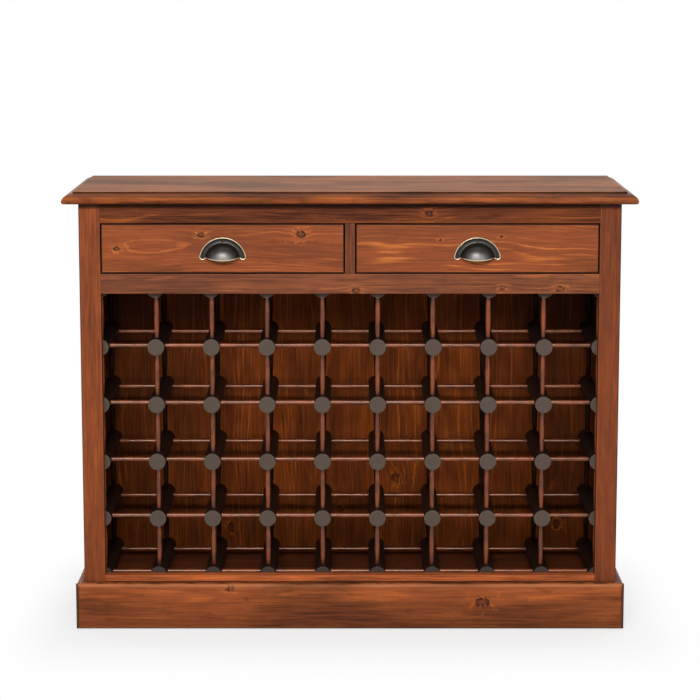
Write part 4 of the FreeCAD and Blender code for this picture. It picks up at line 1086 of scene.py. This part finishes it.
def slotted_screw(spot, tilt):
    """One screw, its head on the plate at spot, its slot turned by tilt."""
    screw = bmesh.new()
    chain = [screw.verts.new((r * MM, -h * MM, 0)) for r, h in SCREW_PROFILE]
    geom = chain + [screw.edges.new(pair) for pair in zip(chain, chain[1:])]
    bmesh.ops.spin(
        screw, geom=geom, cent=(0, 0, 0), axis=(0, 1, 0), angle=math.tau, steps=SCREW_STEPS, use_merge=True
    )
    bmesh.ops.remove_doubles(screw, verts=screw.verts, dist=0.001 * MM)
    for cut in SLOT_CUTS:
        saw(screw, (0, 0, cut * SLOT_HALF), (0, 0, 1))
    for vert in screw.verts:
        if abs(vert.co.z) < SLOT_HALF * 1.05 and vert.co.y < -SLOT_FLOOR:
            vert.co.y = -SLOT_FLOOR
    bmesh.ops.recalc_face_normals(screw, faces=screw.faces)
    bmesh.ops.rotate(screw, cent=(0, 0, 0), matrix=Matrix.Rotation(tilt, 3, "Y"), verts=screw.verts)
    bmesh.ops.translate(screw, vec=spot, verts=screw.verts)
    return screw


FOOT_OUT = ARCH * math.cos(FOOT_ANGLE)
# Each screw: how far sideways and up from the arc's centre, and the tilt of its slot.
SCREW_SPOTS = ((0.0, ARCH, 0.4), (-FOOT_OUT, FOOT_RISE, 1.1), (FOOT_OUT, FOOT_RISE, -0.7))
for side, sign in SIDES:
    screws = bmesh.new()
    for across, up, tilt in SCREW_SPOTS:
        spot = (sign * HANDLE_X + across, FACE_Y - PLATE_FACE, ARC_HEIGHT + up)
        pour(slotted_screw(spot, tilt * sign), screws)
    name = f"{side}_slotted_screws"
    add_piece(name, screws, bronze, f"{side}_drawer", "screw_bronze", f"{side}_handle_screws")

# %% [markdown]
# ## Plinth
# The plinth boards meet in mitres, and years of shoes and brooms have softened their corners. Each board
# could be rounded alone, but then its round would end at the mitre. So the three boards are cut from one
# U-shaped blank, and the round of a corner runs across its mitre. The blank is a plan of eight points,
# raised, with its outer edges bevelled.

# %% Plinth blank
OUTER_X, FRONT_Y, REAR_Y = FOOT_WIDE, -FOOT_DEEP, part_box("plinth_left")[1].y
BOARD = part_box("plinth_front")[1].y - FRONT_Y
CORNER_ROUND, TOP_ROUND, FOOT_ROUND = 9 * MM, 9 * MM, 4 * MM
ROUND_STEPS, FOOT_ROUND_STEPS = 6, 3
TOUCH = 0.1 * MM


def bevel(mesh, edges, width, segments):
    """Rounds edges."""
    bmesh.ops.bevel(
        mesh, geom=edges, offset=width, segments=segments, profile=0.5, affect="EDGES", material=-1
    )


def outside(vert, depth):
    """True for a point that lies near the sides or the front of the plinth."""
    return abs(vert.co.x) > OUTER_X - depth or vert.co.y < FRONT_Y + depth


def on_rim(edge, height):
    """True for a level outer edge of the blank at this height, but not for its rear ends."""
    level = all(abs(vert.co.z - height) < 0.01 * MM for vert in edge.verts)
    outer = all(outside(vert, CORNER_ROUND / 2) for vert in edge.verts)
    upright = any(abs(face.normal.z) < 0.5 for face in edge.link_faces)
    rear = all(vert.co.y > REAR_Y - TOUCH for vert in edge.verts)
    return level and outer and upright and not rear


def plinth_blank():
    """All three boards in one, with rounded outer edges."""
    mesh = bmesh.new()
    inner_x, inner_y = OUTER_X - BOARD, FRONT_Y + BOARD
    plan = ((-OUTER_X, REAR_Y), (-OUTER_X, FRONT_Y), (OUTER_X, FRONT_Y), (OUTER_X, REAR_Y))
    plan += ((inner_x, REAR_Y), (inner_x, inner_y), (-inner_x, inner_y), (-inner_x, REAR_Y))
    face = mesh.faces.new([mesh.verts.new((x, y, 0)) for x, y in plan])
    raised = bmesh.ops.extrude_face_region(mesh, geom=[face])["geom"]
    upper = [item for item in raised if isinstance(item, bmesh.types.BMVert)]
    bmesh.ops.translate(mesh, vec=(0, 0, PLINTH_TOP), verts=upper)
    bmesh.ops.recalc_face_normals(mesh, faces=mesh.faces)

    def on_corner(vert):
        return abs(vert.co.x) > OUTER_X - TOUCH and vert.co.y < FRONT_Y + TOUCH

    corners = [edge for edge in mesh.edges if all(on_corner(vert) for vert in edge.verts)]
    bevel(mesh, corners, CORNER_ROUND, ROUND_STEPS)
    bevel(mesh, [edge for edge in mesh.edges if on_rim(edge, PLINTH_TOP)], TOP_ROUND, ROUND_STEPS)
    bevel(mesh, [edge for edge in mesh.edges if on_rim(edge, 0.0)], FOOT_ROUND, FOOT_ROUND_STEPS)
    return mesh


trial = plinth_blank()
print("plinth blank:", len(trial.faces), "faces")
trial.free()

# %% [markdown]
# ## Wear of the plinth
# Use has lowered the rounded upper edge here and there. Relief in the material would not change the outline,
# so the boards are divided into strips and slow noise moves the edge itself. Planes then cut the three
# boards apart at the mitres, and each cut is closed.

# %% Plinth boards
WEAR_DEPTH = 0.7 * MM
WEAR_CLOSE = 24
WEAR_SLICE = 3.1
LONG_CUTS, SHORT_CUTS = 60, 20
SHORT_REACH = OUTER_X * 0.32


def divide(mesh, axis, reach, cuts):
    """Cuts a mesh into even strips across one axis, so that its edges can be worn."""
    direction = Vector([float(n == axis) for n in range(3)])
    for cut in range(1, cuts):
        saw(mesh, direction * (reach * (2 * cut / cuts - 1)), direction)


def wear_edge(mesh):
    """Divides the boards and lowers the rounded upper edge here and there."""
    divide(mesh, 0, OUTER_X, LONG_CUTS)
    divide(mesh, 1, SHORT_REACH, SHORT_CUTS)
    for vert in mesh.verts:
        rise = vert.co.z - (PLINTH_TOP - TOP_ROUND * 1.3)
        if rise > 0 and outside(vert, TOP_ROUND * 1.1):
            spot = Vector((vert.co.x * WEAR_CLOSE, vert.co.y * WEAR_CLOSE, WEAR_SLICE))
            dent = 0.5 + 0.5 * slow_noise.noise(spot)
            vert.co.z -= WEAR_DEPTH * dent * min(1.0, rise / TOP_ROUND)


def plinth_board(cuts):
    """One board of the blank: each plane cuts away what lies on its outer side."""
    mesh = plinth_blank()
    wear_edge(mesh)
    for place, direction in cuts:
        cut = saw(mesh, place, direction, clear_outer=True)
        edges = [item for item in cut if isinstance(item, bmesh.types.BMEdge)]
        bmesh.ops.contextual_create(mesh, geom=edges)
    bmesh.ops.recalc_face_normals(mesh, faces=mesh.faces)
    return mesh


LEFT_MITRE = Vector((-OUTER_X, FRONT_Y, 0))
RIGHT_MITRE = Vector((OUTER_X, FRONT_Y, 0))
PLINTH_CUTS = {
    "plinth_front": ((LEFT_MITRE, (-1, 1, 0)), (RIGHT_MITRE, (1, 1, 0))),
    "plinth_left": ((LEFT_MITRE, (1, -1, 0)),),
    "plinth_right": ((RIGHT_MITRE, (-1, -1, 0)),),
}
for node, cuts in PLINTH_CUTS.items():
    material = nodes[node].data.materials[0]
    add_piece(f"{node}_worn", plinth_board(cuts), material, "cabinet", "stained_pine", node)

# %% [markdown]
# ## Top board
# The edge of the top is a thumb moulding: a small step, a round that is wider than it is tall, and a tighter
# round tucked under. A cutter works it along the front and both ends, but not along the back. One bevel
# can't give that profile. So a flat plan is raised ring by ring, and each extrude goes to the next point of
# the profile. The mitre lines at the corners are bevelled.

# %% Top board blank
# The profile in millimetres, from the underside up: how far inside the edge, and how high.
THUMB = (
    (5.5, 0), (2.6, 0.6), (0.8, 2.0), (0, 4.2), (0, 5.8), (0.4, 8.4), (1.6, 11.2), (3.6, 13.8),
    (6.6, 16.3), (10.4, 18.5), (15.0, 20.2), (19.4, 21.0), (21.0, 21.0), (21.0, 23.4), (21.6, 24.0),
)
MITRE_ROUND, MITRE_STEPS = 3 * MM, 3


def top_blank():
    """The top, raised ring by ring."""
    mesh = bmesh.new()
    corner = bmesh.ops.create_grid(mesh, x_segments=1, y_segments=1, size=1.0)["verts"][0]
    face = corner.link_faces[0]
    for step, (inset, height) in enumerate(THUMB):
        if step:
            raised = bmesh.ops.extrude_face_region(mesh, geom=[face])["geom"]
            face = next(item for item in raised if isinstance(item, bmesh.types.BMFace))
        for vert in face.verts:
            vert.co.x = math.copysign(TOP_HIGH.x - inset * MM, vert.co.x)
            vert.co.y = TOP_HIGH.y if vert.co.y > 0 else TOP_LOW.y + inset * MM
            vert.co.z = TOP_LOW.z + height * MM

    def on_mitre(vert):
        return abs((TOP_HIGH.x - abs(vert.co.x)) - (vert.co.y - TOP_LOW.y)) < 0.001 * MM

    mitres = []
    for edge in mesh.edges:
        first, second = edge.verts
        if on_mitre(first) and on_mitre(second) and first.co.x * second.co.x > 0:
            mitres.append(edge)
    bevel(mesh, mitres, MITRE_ROUND, MITRE_STEPS)
    return mesh


trial = top_blank()
print("top blank:", len(trial.faces), "faces")
trial.free()

# %% [markdown]
# ## Wear and stain of the top
# Use has dented the round a little, which slow noise does here as on the plinth. The cutter opened the
# rings, so the moulding took the stain in stronger streaks than the flat of the top, and it is glossier. A
# mask could part the two, but the step between them is an edge of the mesh, so the moulding is a second
# material of the same piece.

# %% Top board
DENT_DEPTH = 0.5 * MM
DENT_CLOSE = 26
ROUND_LOW, ROUND_HIGH = 1 * MM, 23 * MM


def top_board():
    """The top with its worn edge. Its second material is for the moulding."""
    mesh = top_blank()
    divide(mesh, 0, TOP_HIGH.x, LONG_CUTS)
    divide(mesh, 1, TOP_HIGH.y, SHORT_CUTS)
    for vert in mesh.verts:
        if ROUND_LOW < vert.co.z - TOP_LOW.z < ROUND_HIGH and vert.co.y < TOP_HIGH.y - 1 * MM:
            dent = DENT_DEPTH * (0.5 + 0.5 * slow_noise.noise(vert.co * DENT_CLOSE))
            vert.co.z -= dent
            if TOP_HIGH.x - abs(vert.co.x) < STEP_INSET:
                vert.co.x -= math.copysign(dent, vert.co.x)
            if vert.co.y - TOP_LOW.y < STEP_INSET:
                vert.co.y += dent
    bmesh.ops.recalc_face_normals(mesh, faces=mesh.faces)
    for face in mesh.faces:
        middle = face.calc_center_median()
        inset = min(TOP_HIGH.x - abs(middle.x), middle.y - TOP_LOW.y)
        face.material_index = int(inset < STEP_INSET + 0.2 * MM)
    return mesh


_, grain, across, pith, _, _ = STAINED_BOARDS[0]
# The pale tones of the moulding are partly a painted highlight; step_corner paints its hollow and underside
# darker, which is painted shade.
MOULDING_TRAITS = {
    "wander": STRAIGHT_GRAIN, "clouds": 0.45, "crease": step_corner, "gloss": 0.1, "roughness": 0.38
}
plain = nodes["top_board"].data.materials[0]
top = add_piece("top_board_worn", top_board(), plain, "cabinet", "stained_pine", "top_board")
moulding = pine(
    "moulding pine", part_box("top_board"), grain, across, pith, MOULDING_BROWN, seed=1, **MOULDING_TRAITS
)
top.data.materials.append(moulding)
print("finishes of the top:", [material.name for material in top.data.materials])

# %% [markdown]
# ## Close
# The dressed cabinet must not outgrow the solid one.

# %% Close
print("dressing done")
